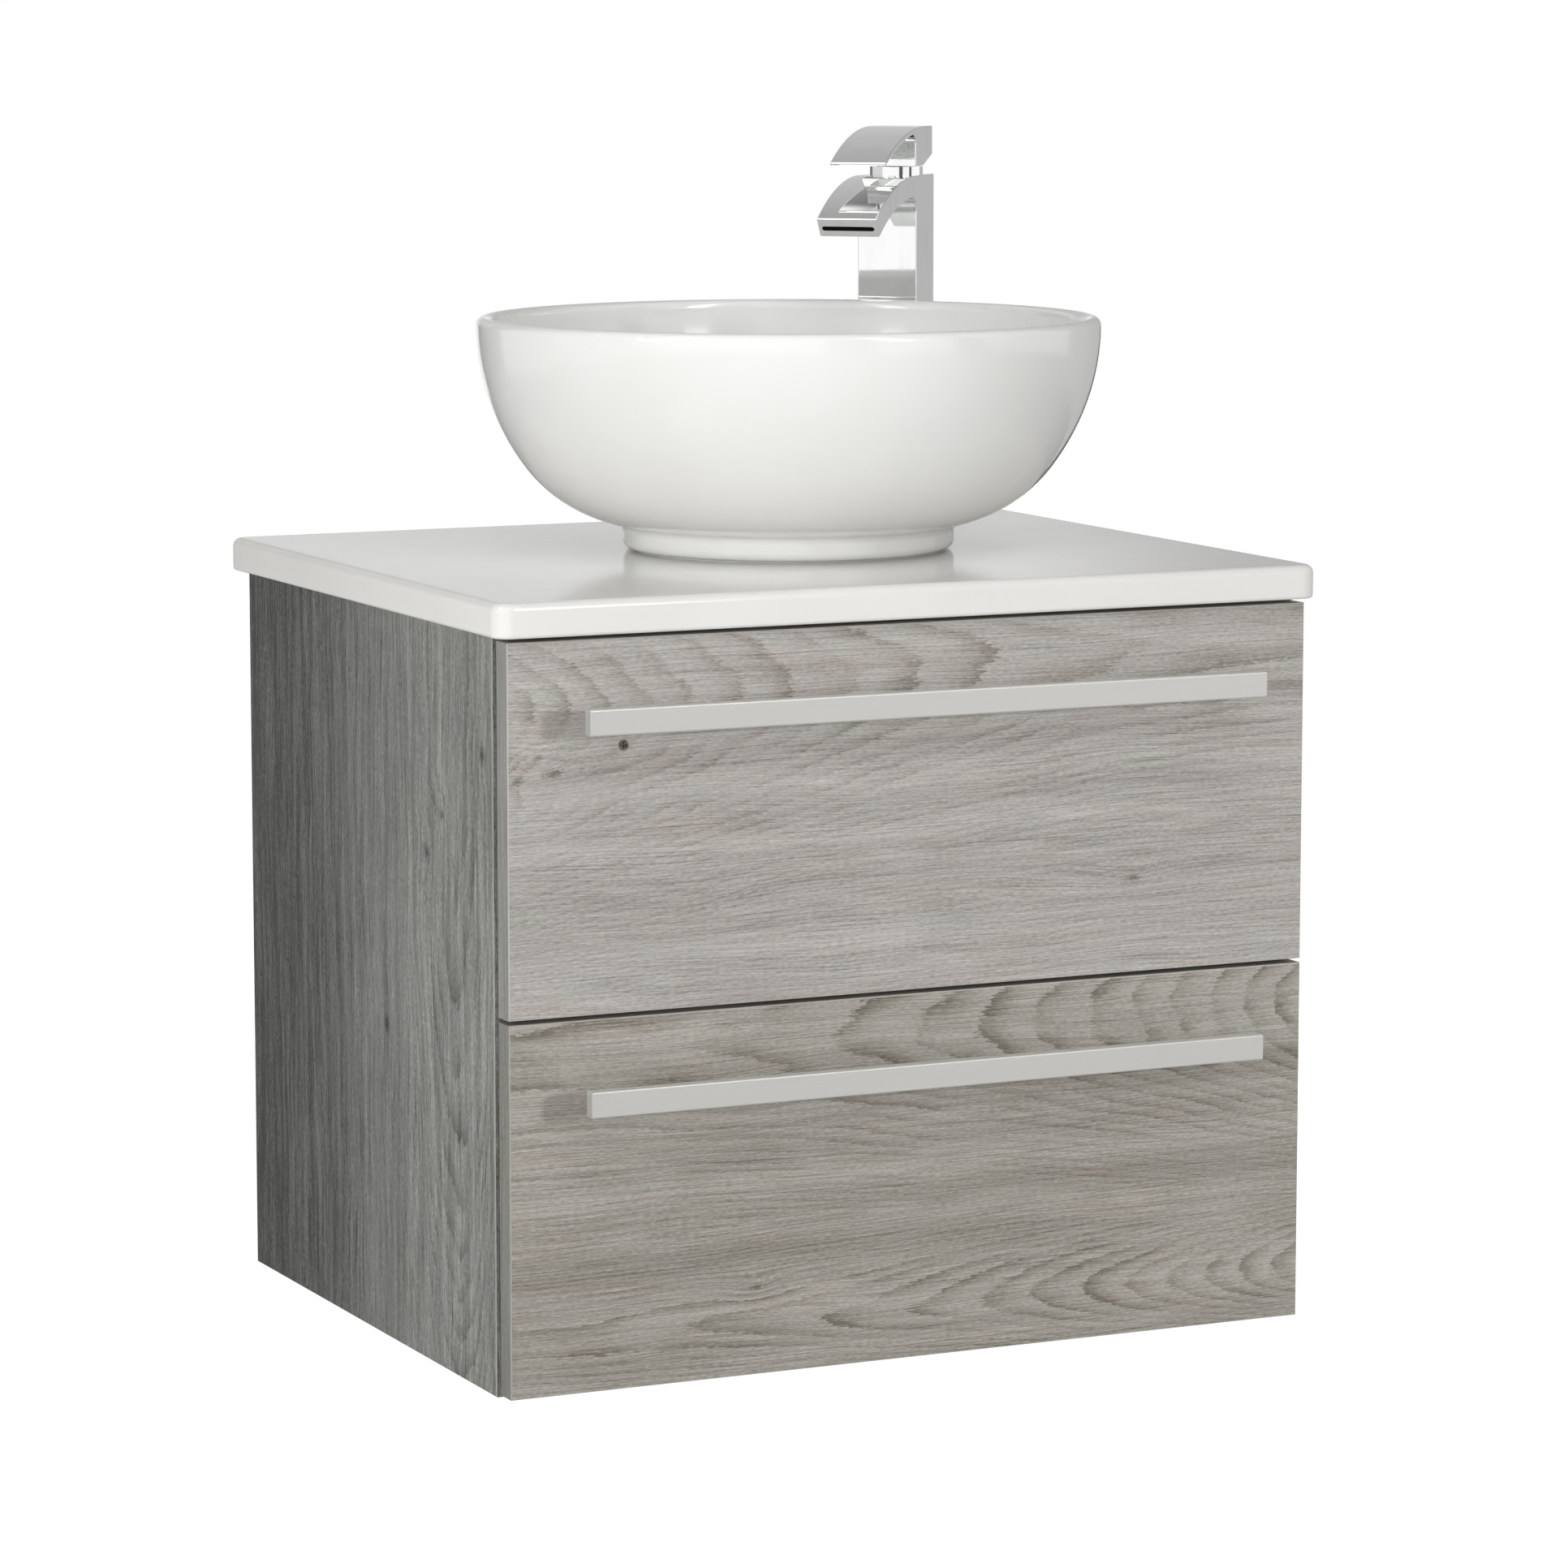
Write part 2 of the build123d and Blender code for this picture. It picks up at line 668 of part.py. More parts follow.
def tap_body_solid():
    """Square column that sweeps over into a slab spout with a wide slot in its lip."""
    crest = column_size
    run = spout_length - crest
    lip_top = body_height - arc_drop(spout_radius, run)
    under_radius = spout_radius - spout_thickness
    under_run = run - spout_lip_lean
    under_top = body_height - spout_thickness
    lip_bottom = under_top - arc_drop(under_radius, under_run)
    over = TangentArc((crest, body_height), (spout_length, lip_top), tangent=(1, 0))
    under = TangentArc((crest, under_top), (spout_length - spout_lip_lean, lip_bottom), tangent=(1, 0))
    column = Polyline(
        (crest, under_top),
        (crest, tap_seal),
        (0, tap_seal),
        (0, body_height),
        (crest, body_height),
    )
    lip = Line((spout_length, lip_top), (spout_length - spout_lip_lean, lip_bottom))
    outline = make_face([column, over, lip, under])
    body = extrude(side_plane(column_size) * outline, column_size)
    inner_corner = body.edges().filter_by(Axis.X).sort_by_distance((0, -column_size / 2, under_top))[0]
    body = fillet(inner_corner, spout_corner)
    body = fillet([edge for edge in body.edges() if edge.center().Z > tap_seal + column_edge], column_edge)

    # The slot runs square into the leaning lip, so it follows the spout's slope
    lip_height = lip_top - lip_bottom
    lip_y = column_size / 2 - spout_length + spout_lip_lean * (1 - slot_lift)
    lip_z = lip_bottom + lip_height * slot_lift
    outward = (0, -lip_height, -spout_lip_lean)
    slot_plane = Plane(origin=(0, lip_y, lip_z), x_dir=(1, 0, 0), z_dir=outward)
    return body - extrude(slot_plane * SlotOverall(slot_width, slot_height), slot_depth, both=True)


def make_tap():
    """Body, fixing, cartridge, swivel and lever of the tap."""
    place = tap_place()
    body = tap_body_solid()
    bore_bottom = body_height - collar_skirt - cartridge_height
    bore_radius = cartridge_radius + slide_clearance
    body -= upright(bore_radius, bore_bottom, body_height + past)
    round_shank = shank_radius + thread_clearance
    body -= upright(round_shank, tap_seal - past, tap_seal + shank_socket)
    nodes["tap_body"] = [place * body]

    seal_size = column_size - 2 * tap_seal_inset
    seal = block(centred(0, seal_size), centred(0, seal_size), (0, tap_seal))
    seal -= upright(round_shank, -past, tap_seal + past)
    nodes["tap_base_seal"] = [place * seal]

    shank_low = -countertop_thickness - shank_below_countertop
    shank = upright(shank_radius, shank_low, tap_seal + shank_socket)
    for sign in (-1, 1):
        inlet_x = sign * inlet_spacing / 2
        shank -= upright(inlet_radius, shank_low - past, shank_low + inlet_depth, inlet_x)
    nodes["tap_shank"] = [place * shank]
    nut_high = -countertop_thickness
    nut = hex_nut(shank_nut_flats, round_shank, nut_high - shank_nut, nut_high, 0, 0)
    nodes["tap_backnut"] = [place * nut]

    skirt_low = body_height - collar_skirt
    nodes["tap_cartridge"] = [place * upright(cartridge_radius, bore_bottom, skirt_low)]
    collar_top = body_height + collar_height
    collar = upright(cartridge_radius, skirt_low, body_height)
    collar += upright(collar_radius, body_height, collar_top)
    collar -= upright(swivel_radius + slide_clearance, skirt_low - past, collar_top + past)
    nodes["tap_collar"] = [place * collar]

    pivot = collar_top - pivot_below_collar_top
    swivel = upright(swivel_radius, skirt_low + slide_clearance, collar_top - swivel_below_collar_top)
    tongue_room = (spindle_size + 2 * slide_clearance, spindle_size + 2 * spindle_swing_room)
    slot_low = pivot - spindle_below_pivot - spindle_tip_room
    swivel -= block(centred(0, tongue_room[0]), centred(0, tongue_room[1]), (slot_low, collar_top + past))
    pin_half = sqrt(swivel_radius**2 - pivot_pin_radius**2) - pivot_pin_inset
    pin = rod(pivot_pin_radius, (-pin_half, 0, pivot), (pin_half, 0, pivot))
    pin_fit = pivot_pin_radius + pivot_pin_clearance
    pin_hole = rod(pin_fit, (-swivel_radius, 0, pivot), (swivel_radius, 0, pivot))
    swivel -= pin_hole
    nodes["tap_swivel"] = [place * swivel]
    nodes["lever_pin"] = [place * pin]

    lever_bottom = collar_top + lever_gap
    spindle_top = lever_bottom + spindle_in_lever
    spindle_height = (pivot - spindle_below_pivot, spindle_top)
    spindle = block(centred(0, spindle_size), centred(0, spindle_size), spindle_height)
    nodes["lever_spindle"] = [place * (spindle - pin_hole)]
    socket_size = spindle_size + 2 * spindle_clearance
    socket_height = (lever_bottom - past, spindle_top + spindle_clearance)
    socket = block(centred(0, socket_size), centred(0, socket_size), socket_height)
    nodes["tap_lever"] = [place * (lever_solid(lever_bottom) - socket)]


def lever_solid(bottom):
    """Block over the collar with a thin arm that sweeps forward and down over the spout."""
    top = bottom + lever_height
    axis = column_size / 2
    chamfer_rise = axis * tan(radians(lever_lift_angle + lever_chamfer_spare))
    run = lever_length - lever_flat
    under_radius = lever_radius - lever_arm
    tip_top = top - arc_drop(lever_radius, run)
    tip_under = tip_top - lever_tip
    root = top - lever_arm - arc_drop(under_radius, lever_block - lever_flat)
    slope = atan2(lever_block - lever_flat, under_radius - (top - lever_arm - root))
    block_sides = Polyline(
        (lever_block, root),
        (lever_block, bottom),
        (axis, bottom),
        (0, bottom + chamfer_rise),
        (0, top),
        (lever_flat, top),
    )
    over = TangentArc((lever_flat, top), (lever_length, tip_top), tangent=(1, 0))
    tip = Line((lever_length, tip_top), (lever_length, tip_under))
    under = TangentArc((lever_block, root), (lever_length, tip_under), tangent=(cos(slope), -sin(slope)))
    outline = make_face([block_sides, over, tip, under])
    lever = extrude(side_plane(lever_width) * outline, lever_width)
    corner_y = axis - lever_block
    inner_corner = lever.edges().filter_by(Axis.X).sort_by_distance((0, corner_y, root))[0]
    lever = fillet(inner_corner, lever_corner)
    return fillet([edge for edge in lever.edges() if edge.center().Z > bottom + lever_edge], lever_edge)


make_carcass()
make_countertop()
make_drawer("upper", upper_front_bottom, upper_front_height)
make_drawer("lower", bottom_reveal, lower_front_height)
make_basin()
make_waste()
make_trap()
make_tap()

os.makedirs("parts", exist_ok=True)
for node, solids in nodes.items():
    whole = solids[0] if len(solids) == 1 else Compound(children=solids)
    export_step(whole, f"parts/{node}.step")
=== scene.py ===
import json
from math import cos, e, radians, sin

import bmesh
import bpy
from mathutils import Matrix, Vector


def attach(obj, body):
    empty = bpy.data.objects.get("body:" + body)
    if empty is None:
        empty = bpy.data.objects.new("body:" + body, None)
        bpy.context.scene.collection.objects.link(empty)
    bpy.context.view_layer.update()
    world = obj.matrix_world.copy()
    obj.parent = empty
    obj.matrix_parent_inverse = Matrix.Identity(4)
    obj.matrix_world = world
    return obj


# Looks for a wall-hung vanity: grey oak drawers, white countertop, vessel basin and chrome tap.
# Metres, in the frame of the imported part. Patterns and small fittings are written in millimetres.

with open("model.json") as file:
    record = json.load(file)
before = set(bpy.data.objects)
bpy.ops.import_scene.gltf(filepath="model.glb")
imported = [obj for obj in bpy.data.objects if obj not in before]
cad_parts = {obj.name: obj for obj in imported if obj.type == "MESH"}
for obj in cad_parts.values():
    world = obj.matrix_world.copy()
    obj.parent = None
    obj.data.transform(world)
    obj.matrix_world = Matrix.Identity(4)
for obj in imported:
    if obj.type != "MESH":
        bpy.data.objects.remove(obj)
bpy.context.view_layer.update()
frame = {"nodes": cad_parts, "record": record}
nodes = frame["nodes"]

# Axes of a place or a normal, and millimetres in a metre
X, Y, Z = 0, 1, 2
millimetres = 1000.0

# Camera, set from the photograph's edges
camera_place = (-1.745, -4.019, 0.936)
camera_turn = 25.11
camera_tilt = 7.835
camera_lens = 134.86

# Floor and surroundings
floor_drop = 0.36
floor_size = 400.0
floor_white = 0.9
floor_light = 1.1
floor_glow = 0.9
ambient_strength = 0.22

# Lamps, which point at the middle of the object: place, width, height, watts and what they light.
# The drawer faces have a key and a fill of their own, so that the handles cast a clear shadow.
lit_middle = (0.0, -0.3, 0.4)
drawer_faces = ("upper_front", "lower_front", "upper_handle_bar", "lower_handle_bar", "front_screw")
lamps = {
    "key": ((1.6, -2.8, 0.85), 0.35, 0.35, 15.0, "everything"),
    "drawer_key": ((3.2, -5.3, 1.3), 0.6, 0.6, 82.0, "drawer faces"),
    "front": ((-1.2, -2.6, 1.3), 1.2, 1.0, 11.0, "all else"),
    "overhead": ((-0.2, -1.7, 2.5), 2.0, 1.4, 19.5, "everything"),
    "rear": ((2.0, 2.5, 0.6), 1.6, 1.2, 60.0, "everything"),
    "fill": ((-2.72, -1.58, 0.85), 1.5, 1.1, 43.0, "all else"),
    "drawer_fill": ((-2.72, -1.58, 0.85), 1.5, 1.1, 31.0, "drawer faces"),
}
link_states = {"drawer faces": "INCLUDE", "all else": "EXCLUDE"}

# Sheets that only reflections see, so that chrome and glaze have something to show: turn round the
# object from the wall in degrees, distance, height of the middle, height aimed at, width, height and
# brightness. Their borders fade over a share of the sheet, and they dim from foot to head.
reflected_sheets = {
    "wall_behind": (0.0, 3.6, 5.0, 5.0, 6.0, 9.15, 0.46),
    "wall_right": (-60.0, 3.6, 3.0, 3.0, 4.0, 9.0, 0.41),
    "wall_left": (56.0, 3.6, 2.0, 2.0, 6.4, 5.0, 0.6),
    "wall_left_rear": (12.0, 3.7, 1.6, 1.6, 2.4, 4.0, 0.15),
    "floor_patch": (0.0, 0.0, -0.35, 1.0, 15.0, 15.0, 0.38),
    "screen_behind_low": (-42.0, 1.6, 0.15, 0.15, 0.62, 1.0, 0.1),
    "screen_front": (178.0, 3.6, 1.6, 1.6, 1.1, 3.2, 0.1),
    "screen_front_right": (-140.0, 3.6, 1.6, 1.6, 0.8, 3.2, 0.1),
    "lamp_left": (115.5, 2.4, 2.6, 2.6, 0.5, 3.4, 5.0),
    "lamp_right": (-166.5, 2.4, 2.6, 2.6, 0.4, 3.4, 7.0),
}
sheet_fade = 0.12
sheet_foot = 1.3
sheet_head = 0.6

# Tap in millimetres: the way it faces and the slot in its lip, which has its mouth ahead of the axis
# and at a height, leans down by an angle, and has half its width, half its height and a depth. Painted
# shade darkens its inside; it has a soft border, starts behind the mouth and ends past the depth
tap_ahead = (-0.684, -0.729)
slot_mouth = (119.34, 752.96)
slot_lean = 34.2
slot_half = (20.05, 2.0)
slot_depth = 26.5
slot_border = 0.1
slot_start = (0.05, 0.3)
slot_end = 0.5

# Small fittings in millimetres: heads have a radius, a height, a rounding, a recess length and its depth
pan_head = (3.6, 1.9, 0.9, 4.4, 1.1)
flush_head = (3.6, 0.28, 0.12, 4.4, 0.2)
recess_width = 0.9
recess_taper = 0.6
cap_radius = 6.5
cap_height = 1.1
cap_rounding = 0.6
cap_rim = 1.2
cap_slope = 0.4
cap_dish = 0.25
bumper_radius = 4.0
bumper_height = 2.2
bumper_rounding = 1.2
bumper_rim = 1.0
bumper_crown = 0.15

# How the fittings are shaped: corners of a round, steps of a rounding, the angle in degrees up to which
# faces are smooth, the share of the height from which a corner is at the outer end, and the share of
# its normal from which a face points up or down
round_corners = 48
rounding_steps = 4
smooth_angle = 35
outer_end = 0.999
mostly = 0.9

# Where the fittings sit in millimetres: the thickness of the runners' sheet, setbacks behind the front
# end of a runner or a drawer side, and heights above the cabinet's underside
runner_sheet = 1.2
runner_screw_setbacks = (29.0, 184.0, 364.0)
cap_setback = 13.7
cap_levels = {"upper": (312.0, 398.0), "lower": (58.0, 144.0)}
bumper_levels = (492.0, 270.0, 240.0, 16.0)


def extent(name, axis):
    """Lowest and highest place of a CAD node along an axis, in millimetres."""
    places = [corner.co[axis] * millimetres for corner in nodes[name].data.vertices]
    return round(min(places), 3), round(max(places), 3)


def halfway(name, axis):
    """Place halfway through a CAD node along an axis, in millimetres."""
    low, high = extent(name, axis)
    return (low + high) / 2


def srgb(red, green, blue):
    """A colour from its screen values, 0 to 255, as the shader's own linear light."""
    linear = []
    for value in (red, green, blue):
        share = value / 255
        linear.append(share / 12.92 if share <= 0.04045 else ((share + 0.055) / 1.055) ** 2.4)
    return (*linear, 1.0)


def grey(level):
    """A grey of plain linear light."""
    return (level, level, level, 1.0)


class Value:
    """A socket of a node tree, on which sums are written as they are read."""

    def __init__(self, nodes, socket):
        self.nodes = nodes
        self.socket = socket

    def sum(self, operation, *values):
        """One Math node."""
        return self.nodes.node("ShaderNodeMath", {"operation": operation}, dict(enumerate(values)))

    def __add__(self, other):
        return self.sum("ADD", self, other)

    def __radd__(self, other):
        return self.sum("ADD", other, self)

    def __sub__(self, other):
        return self.sum("SUBTRACT", self, other)

    def __rsub__(self, other):
        return self.sum("SUBTRACT", other, self)

    def __mul__(self, other):
        return self.sum("MULTIPLY", self, other)

    def __rmul__(self, other):
        return self.sum("MULTIPLY", other, self)

    def __truediv__(self, other):
        return self.sum("DIVIDE", self, other)

    def __rtruediv__(self, other):
        return self.sum("DIVIDE", other, self)

    def __pow__(self, other):
        return self.sum("POWER", self, other)

    def __rpow__(self, other):
        return self.sum("POWER", other, self)

    def __abs__(self):
        return self.sum("ABSOLUTE", self)

    def root(self):
        return self.sum("SQRT", self)

    def fraction(self):
        return self.sum("FRACT", self)

    def whole(self):
        return self.sum("FLOOR", self)

    def least(self, other):
        return self.sum("MINIMUM", self, other)

    def most(self, other):
        return self.sum("MAXIMUM", self, other)


class Nodes:
    """A node tree that is built up by sums and by one method for any other node."""

    def __init__(self, tree):
        self.tree = tree
        tree.nodes.clear()

    def node(self, kind, settings=None, inputs=None, output=0):
        """Any node: its settings are set first, then the values or links of its sockets."""
        made = self.tree.nodes.new(kind)
        for key, value in (settings or {}).items():
            setattr(made, key, value)
        for key, value in (inputs or {}).items():
            if isinstance(value, Value):
                self.tree.links.new(value.socket, made.inputs[key])
            else:
                made.inputs[key].default_value = value
        return Value(self, made.outputs[output]) if made.outputs else made

    def ray(self, kind):
        """1 for one kind of ray and 0 for others."""
        return self.node("ShaderNodeLightPath", output=f"Is {kind} Ray")

    def shown(self):
        """1 where the camera, a mirror or a clear piece looks, and 0 for light on the object."""
        return self.ray("Camera").most(self.ray("Glossy")).most(self.ray("Transmission"))


class Finish(Nodes):
    """A material, with the patterns that its surfaces need."""

    def __init__(self, name):
        self.material = bpy.data.materials.new(name)
        self.material.use_nodes = True
        super().__init__(self.material.node_tree)

    def split(self, vector):
        """X, Y and Z of a vector."""
        return [self.node("ShaderNodeSeparateXYZ", {}, {0: vector}, axis) for axis in (X, Y, Z)]

    def place(self):
        """X, Y and Z of the point on the piece, in millimetres."""
        metres = self.node("ShaderNodeTexCoord", output="Object")
        return [value * millimetres for value in self.split(metres)]

    def facing(self):
        """How far the surface faces along X, Y and Z, either way."""
        return [abs(value) for value in self.split(self.node("ShaderNodeTexCoord", output="Normal"))]

    def noise(self, place, size, detail=2.0, roughness=0.5, seed=0.0):
        """Soft noise, from about 0.25 to 0.75, with a size in millimetres along each axis of a place."""
        spot = [value / length for value, length in zip(place, size)]
        depth = spot[Z] if len(spot) > Z else 0.0
        vector = self.node("ShaderNodeCombineXYZ", {}, {0: spot[X], 1: spot[Y], 2: depth + seed})
        sockets = {"Vector": vector, "Scale": 1.0, "Detail": detail, "Roughness": roughness}
        return self.node("ShaderNodeTexNoise", {}, sockets)

    def cloud(self, size, detail=2.0, roughness=0.5):
        """Soft noise of one size all ways, in millimetres."""
        return self.noise(self.place(), (size, size, size), detail, roughness)

    def step(self, value, low, high):
        """0 below low, 1 above high and a smooth rise between."""
        sockets = {"Value": value, "From Min": low, "From Max": high}
        return self.node("ShaderNodeMapRange", {"interpolation_type": "SMOOTHSTEP"}, sockets)

    def mix(self, first, second, share):
        """A colour between two others."""
        sockets = {"Factor": share, 6: first, 7: second}
        return self.node("ShaderNodeMix", {"data_type": "RGBA"}, sockets, 2)

    def tint(self, colour, stain, share):
        """A colour seen through a thin stain."""
        sockets = {"Factor": share, 6: colour, 7: stain}
        return self.node("ShaderNodeMix", {"data_type": "RGBA", "blend_type": "MULTIPLY"}, sockets, 2)

    def bump(self, height, depth, strength):
        """Normal of a surface that rises by up to depth, in millimetres."""
        sockets = {"Height": height, "Distance": depth / millimetres, "Strength": strength}
        return self.node("ShaderNodeBump", {}, sockets)

    def surface(self, **sockets):
        """Ends the finish in one shader. Socket names have their spaces as underscores."""
        named = {key.replace("_", " "): value for key, value in sockets.items()}
        return self.close(self.node("ShaderNodeBsdfPrincipled", {}, named))

    def close(self, shader):
        """Ends the finish in any shader."""
        self.node("ShaderNodeOutputMaterial", {}, {"Surface": shader})
        return self.material


def wear(names, material):
    """Gives CAD nodes a finish."""
    for name in names:
        slots = nodes[name].data.materials
        slots.clear()
        slots.append(material)


# Laminates of the fronts and the sides. Fibres have a length and a thickness in millimetres. Strands,
# bands and pores have a share of their full length, and bands of colour a breadth and how far they waver
# across the grain. Fibres, strands, bands and long dark pores are weighed against each other.
front_laminate = {
    "fibre": (4.6, 0.9), "streak_share": 1.0, "band_breadth": 18.0, "waver": 0.0,
    "fibres": 1.05, "strands": 0.9, "bands": 0.55, "pores": 0.2,
}
side_laminate = {
    "fibre": (3.2, 1.5), "streak_share": 0.4, "band_breadth": 9.0, "waver": 7.0,
    "fibres": 0.95, "strands": 0.6, "bands": 0.75, "pores": 0.25,
}

# Figure of each oak board, in millimetres along and across the grain.
# Growth rings are counted from a middle, one way along the board, with a run from ring to ring that the
# stretch changes slowly. They are arches: each arch line has its place across the grain, the curve of
# the arches' tips and the distance at which they turn into straight grain, and all lines lean across
# the grain by a share of the length. "rings" weighs how dark their late wood is.
# Knots have their place along and across, their size, and how many times as long as wide they are.
# Streaks and painted shade are broad dark bands with their place across the grain, their width and their
# depth.
# Some are streaks of the laminate; the rest is painted shade that darkens the side panels towards the rear
# and the lower front towards its bottom.
# Side panels also have the place of a painted highlight, a pale line just behind their front edge band,
# where the rounded edge catches light.
board_figures = {
    "upper_front": {
        "laminate": front_laminate, "seed": 3.0, "rings": 0.5,
        "middle": 0.0, "way": 1, "run": 53.0, "stretch": 29000.0, "lean": 0.06,
        "arches": [(473.0, 11.0, 300.0)],
        "streaks_and_painted_shade": [(440.0, 14.0, 0.06), (330.0, 20.0, 0.05)],
        "knots": [(-291.0, 415.0, 2.4, 2.0), (-277.0, 430.0, 1.6, 2.0), (-266.0, 419.0, 3.4, 2.2),
                  (166.0, 322.0, 2.6, 2.4)],
    },
    "lower_front": {
        "laminate": front_laminate, "seed": 17.0, "rings": 0.7,
        "middle": 0.0, "way": -1, "run": 53.0, "stretch": 29000.0, "lean": 0.0,
        "arches": [(230.0, 10.0, 300.0), (39.0, 2.6, 120.0)],
        "streaks_and_painted_shade": [(178.0, 12.0, 0.06), (95.0, 22.0, 0.08), (20.0, 40.0, 0.07)],
        "knots": [(-120.0, 62.0, 1.8, 2.4)],
    },
    "left_side_panel": {
        "laminate": side_laminate, "seed": 31.0, "rings": 0.45,
        "middle": 254.0, "way": -1, "run": 60.0, "stretch": -24000.0, "lean": 0.0,
        "arches": [(-420.0, 7.0, 90.0)],
        # The broad bands here are mostly painted shade, darker towards the panel's rear
        "streaks_and_painted_shade": [(-40.0, 80.0, 0.42), (-190.0, 60.0, 0.22), (-300.0, 16.0, 0.06)],
        "knots": [(350.0, -367.0, 5.4, 1.1), (220.0, -290.0, 5.0, 1.1), (428.0, -468.0, 4.6, 1.4),
                  (379.0, -396.0, 3.4, 1.1)],
        "edge_highlight_line": -484.2,
    },
    "right_side_panel": {
        "laminate": side_laminate, "seed": 47.0, "rings": 0.45,
        "middle": 254.0, "way": 1, "run": 70.0, "stretch": -26000.0, "lean": 0.0,
        "arches": [(-150.0, 7.0, 90.0)],
        "streaks_and_painted_shade": [(-440.0, 30.0, 0.14), (-260.0, 14.0, 0.12)],
        "knots": [(300.0, -330.0, 4.8, 1.1), (120.0, -210.0, 4.2, 1.2)],
        "edge_highlight_line": -484.2,
    },
}
# The side panels wear a darker copy of the fronts' oak, as painted shade for faces that the light reaches
# less. The lower front's tones are a little darker, partly another part of the laminate and partly painted
# shade from light that falls from above.
upper_oak = {"dark": srgb(113, 108, 101), "mid": srgb(167, 163, 158), "pale": srgb(206, 203, 200)}
lower_oak_painted_shade = {"dark": srgb(103, 98, 89), "mid": srgb(152, 148, 140), "pale": srgb(193, 190, 184)}
side_oak_painted_shade = {"dark": srgb(50, 51, 47), "mid": srgb(122, 123, 119), "pale": srgb(180, 181, 176)}

# Thin stains on the oak: cool and warm patches, late wood, and the narrow ends of a board
cool_stain = (0.97, 1.0, 0.98, 1.0)
warm_stain = (1.0, 0.975, 0.955, 1.0)
late_stain = (0.99, 0.98, 0.93, 1.0)
end_stain = (0.8, 0.84, 0.84, 1.0)

# Oak patterns in millimetres: length along and breadth across the grain
knot_blur = (3.0, 1.2)
grain_drift = (210.0, 60.0)
ring_wander = (110.0, 26.0)
ring_patch = (90.0, 24.0)
grain_sway = (55.0, 30.0)
hue_patch = (120.0, 14.0)
band_length = 420.0
pore_length = 260.0

# Oak patterns that follow the fibre: length and thickness in fibres
ragged_fibres = (2.0, 1.4)
strand_fibres = (11.0, 1.3)
pore_fibres = 1.1

# How far drift and knots move the grain in millimetres, and how fast a knot's push and its dark fade
drift_reach = 16.0
swell_reach = 4.0
swell_fall = 0.04
heart_fall = 1.6
knot_ragged = (3.0, 2.2)

# Growth rings: their shift, in rings, by wander, ragged ends and knots, the rise of the dark late wood
# to its sharp end, and what is left of the faintest rings, of those far from an arch line, which fade
# with the distance, and of those between the patches
ring_shift = {"wander": 1.1, "ragged": 0.5, "swell": 1.2}
late_rise = 2.5
late_end = 0.97
faintest_ring = 0.55
far_ring = 0.3
far_fall = 0.3
sparse_ring = 0.3

# Tone of the oak: its lift, the mean of the rings, the dark of a knot and the contrast of tones. The
# painted highlight along the edges has a width in millimetres and a share of the pale tone
oak_lift = 0.04
ring_mean = 0.14
heart_dark = 0.55
tone_contrast = 2.0
edge_highlight_width = 0.3
edge_highlight_share = 0.5

# Where patterns set in and where they are full: a face that looks one way, a rounded edge, patches of
# rings, pores, and cool and warm patches
face_step = (0.75, 0.8)
edge_step = (0.8, 0.97)
patch_step = (0.38, 0.6)
pore_step = (0.53, 0.68)
cool_step = (0.5, 0.7)
warm_step = (0.5, 0.3)


def oak_knots(finish, figure, u, v):
    """How far the knots push the grain aside, and how dark they make it."""
    swell = 0.0
    heart = 0.0
    for knot_u, knot_v, size, oval in figure["knots"]:
        blur = finish.noise((u, v), knot_blur, detail=3, seed=figure["seed"] + knot_u) - 0.5
        off_u = (u - knot_u) / (size * oval) + blur * knot_ragged[0]
        off_v = (v - knot_v) / size + blur * knot_ragged[1]
        far = off_u * off_u + off_v * off_v
        swell = swell + e ** (far * -swell_fall)
        heart = heart + e ** (far * -heart_fall)
    return swell, heart


def oak_rings(finish, figure, u, v, drift, swell):
    """Late wood of arched growth rings, darkening slowly to a ragged edge, and nearness to an arch line."""
    seed = figure["seed"]
    run = figure["run"]
    length, thickness = figure["laminate"]["fibre"]
    ragged_size = (length * ragged_fibres[0], thickness * ragged_fibres[1])
    bent = v + drift * drift_reach - u * figure["lean"]
    fan = None
    for line, curve, reach in figure["arches"]:
        off = (bent - line) / reach
        arch = ((off * off + 1).root() - 1) * (reach * reach / (curve * run))
        fan = arch if fan is None else fan.least(arch)
    ragged = finish.noise((u, v), ragged_size, detail=1, seed=seed + 1) - 0.5
    wander = finish.noise((u, v), ring_wander, detail=2, seed=seed + 2) - 0.5
    shift = wander * ring_shift["wander"] + ragged * ring_shift["ragged"] + swell * ring_shift["swell"]
    s = (u - figure["middle"]) * figure["way"]
    rings = s / run - s * s / figure["stretch"] + fan + shift
    phase = rings.fraction()
    weight = finish.node("ShaderNodeTexWhiteNoise", {"noise_dimensions": "1D"}, {"W": rings.whole() + seed})
    late = phase ** late_rise * (1 - finish.step(phase, late_end, 1.0))
    late = late * (faintest_ring + weight * (1 - faintest_ring))
    near = far_ring + (1 - far_ring) / (fan * far_fall + 1)
    patch = finish.step(finish.noise((u, v), ring_patch, detail=1, seed=seed + 8), *patch_step)
    return late * near * (sparse_ring + (1 - sparse_ring) * patch), near


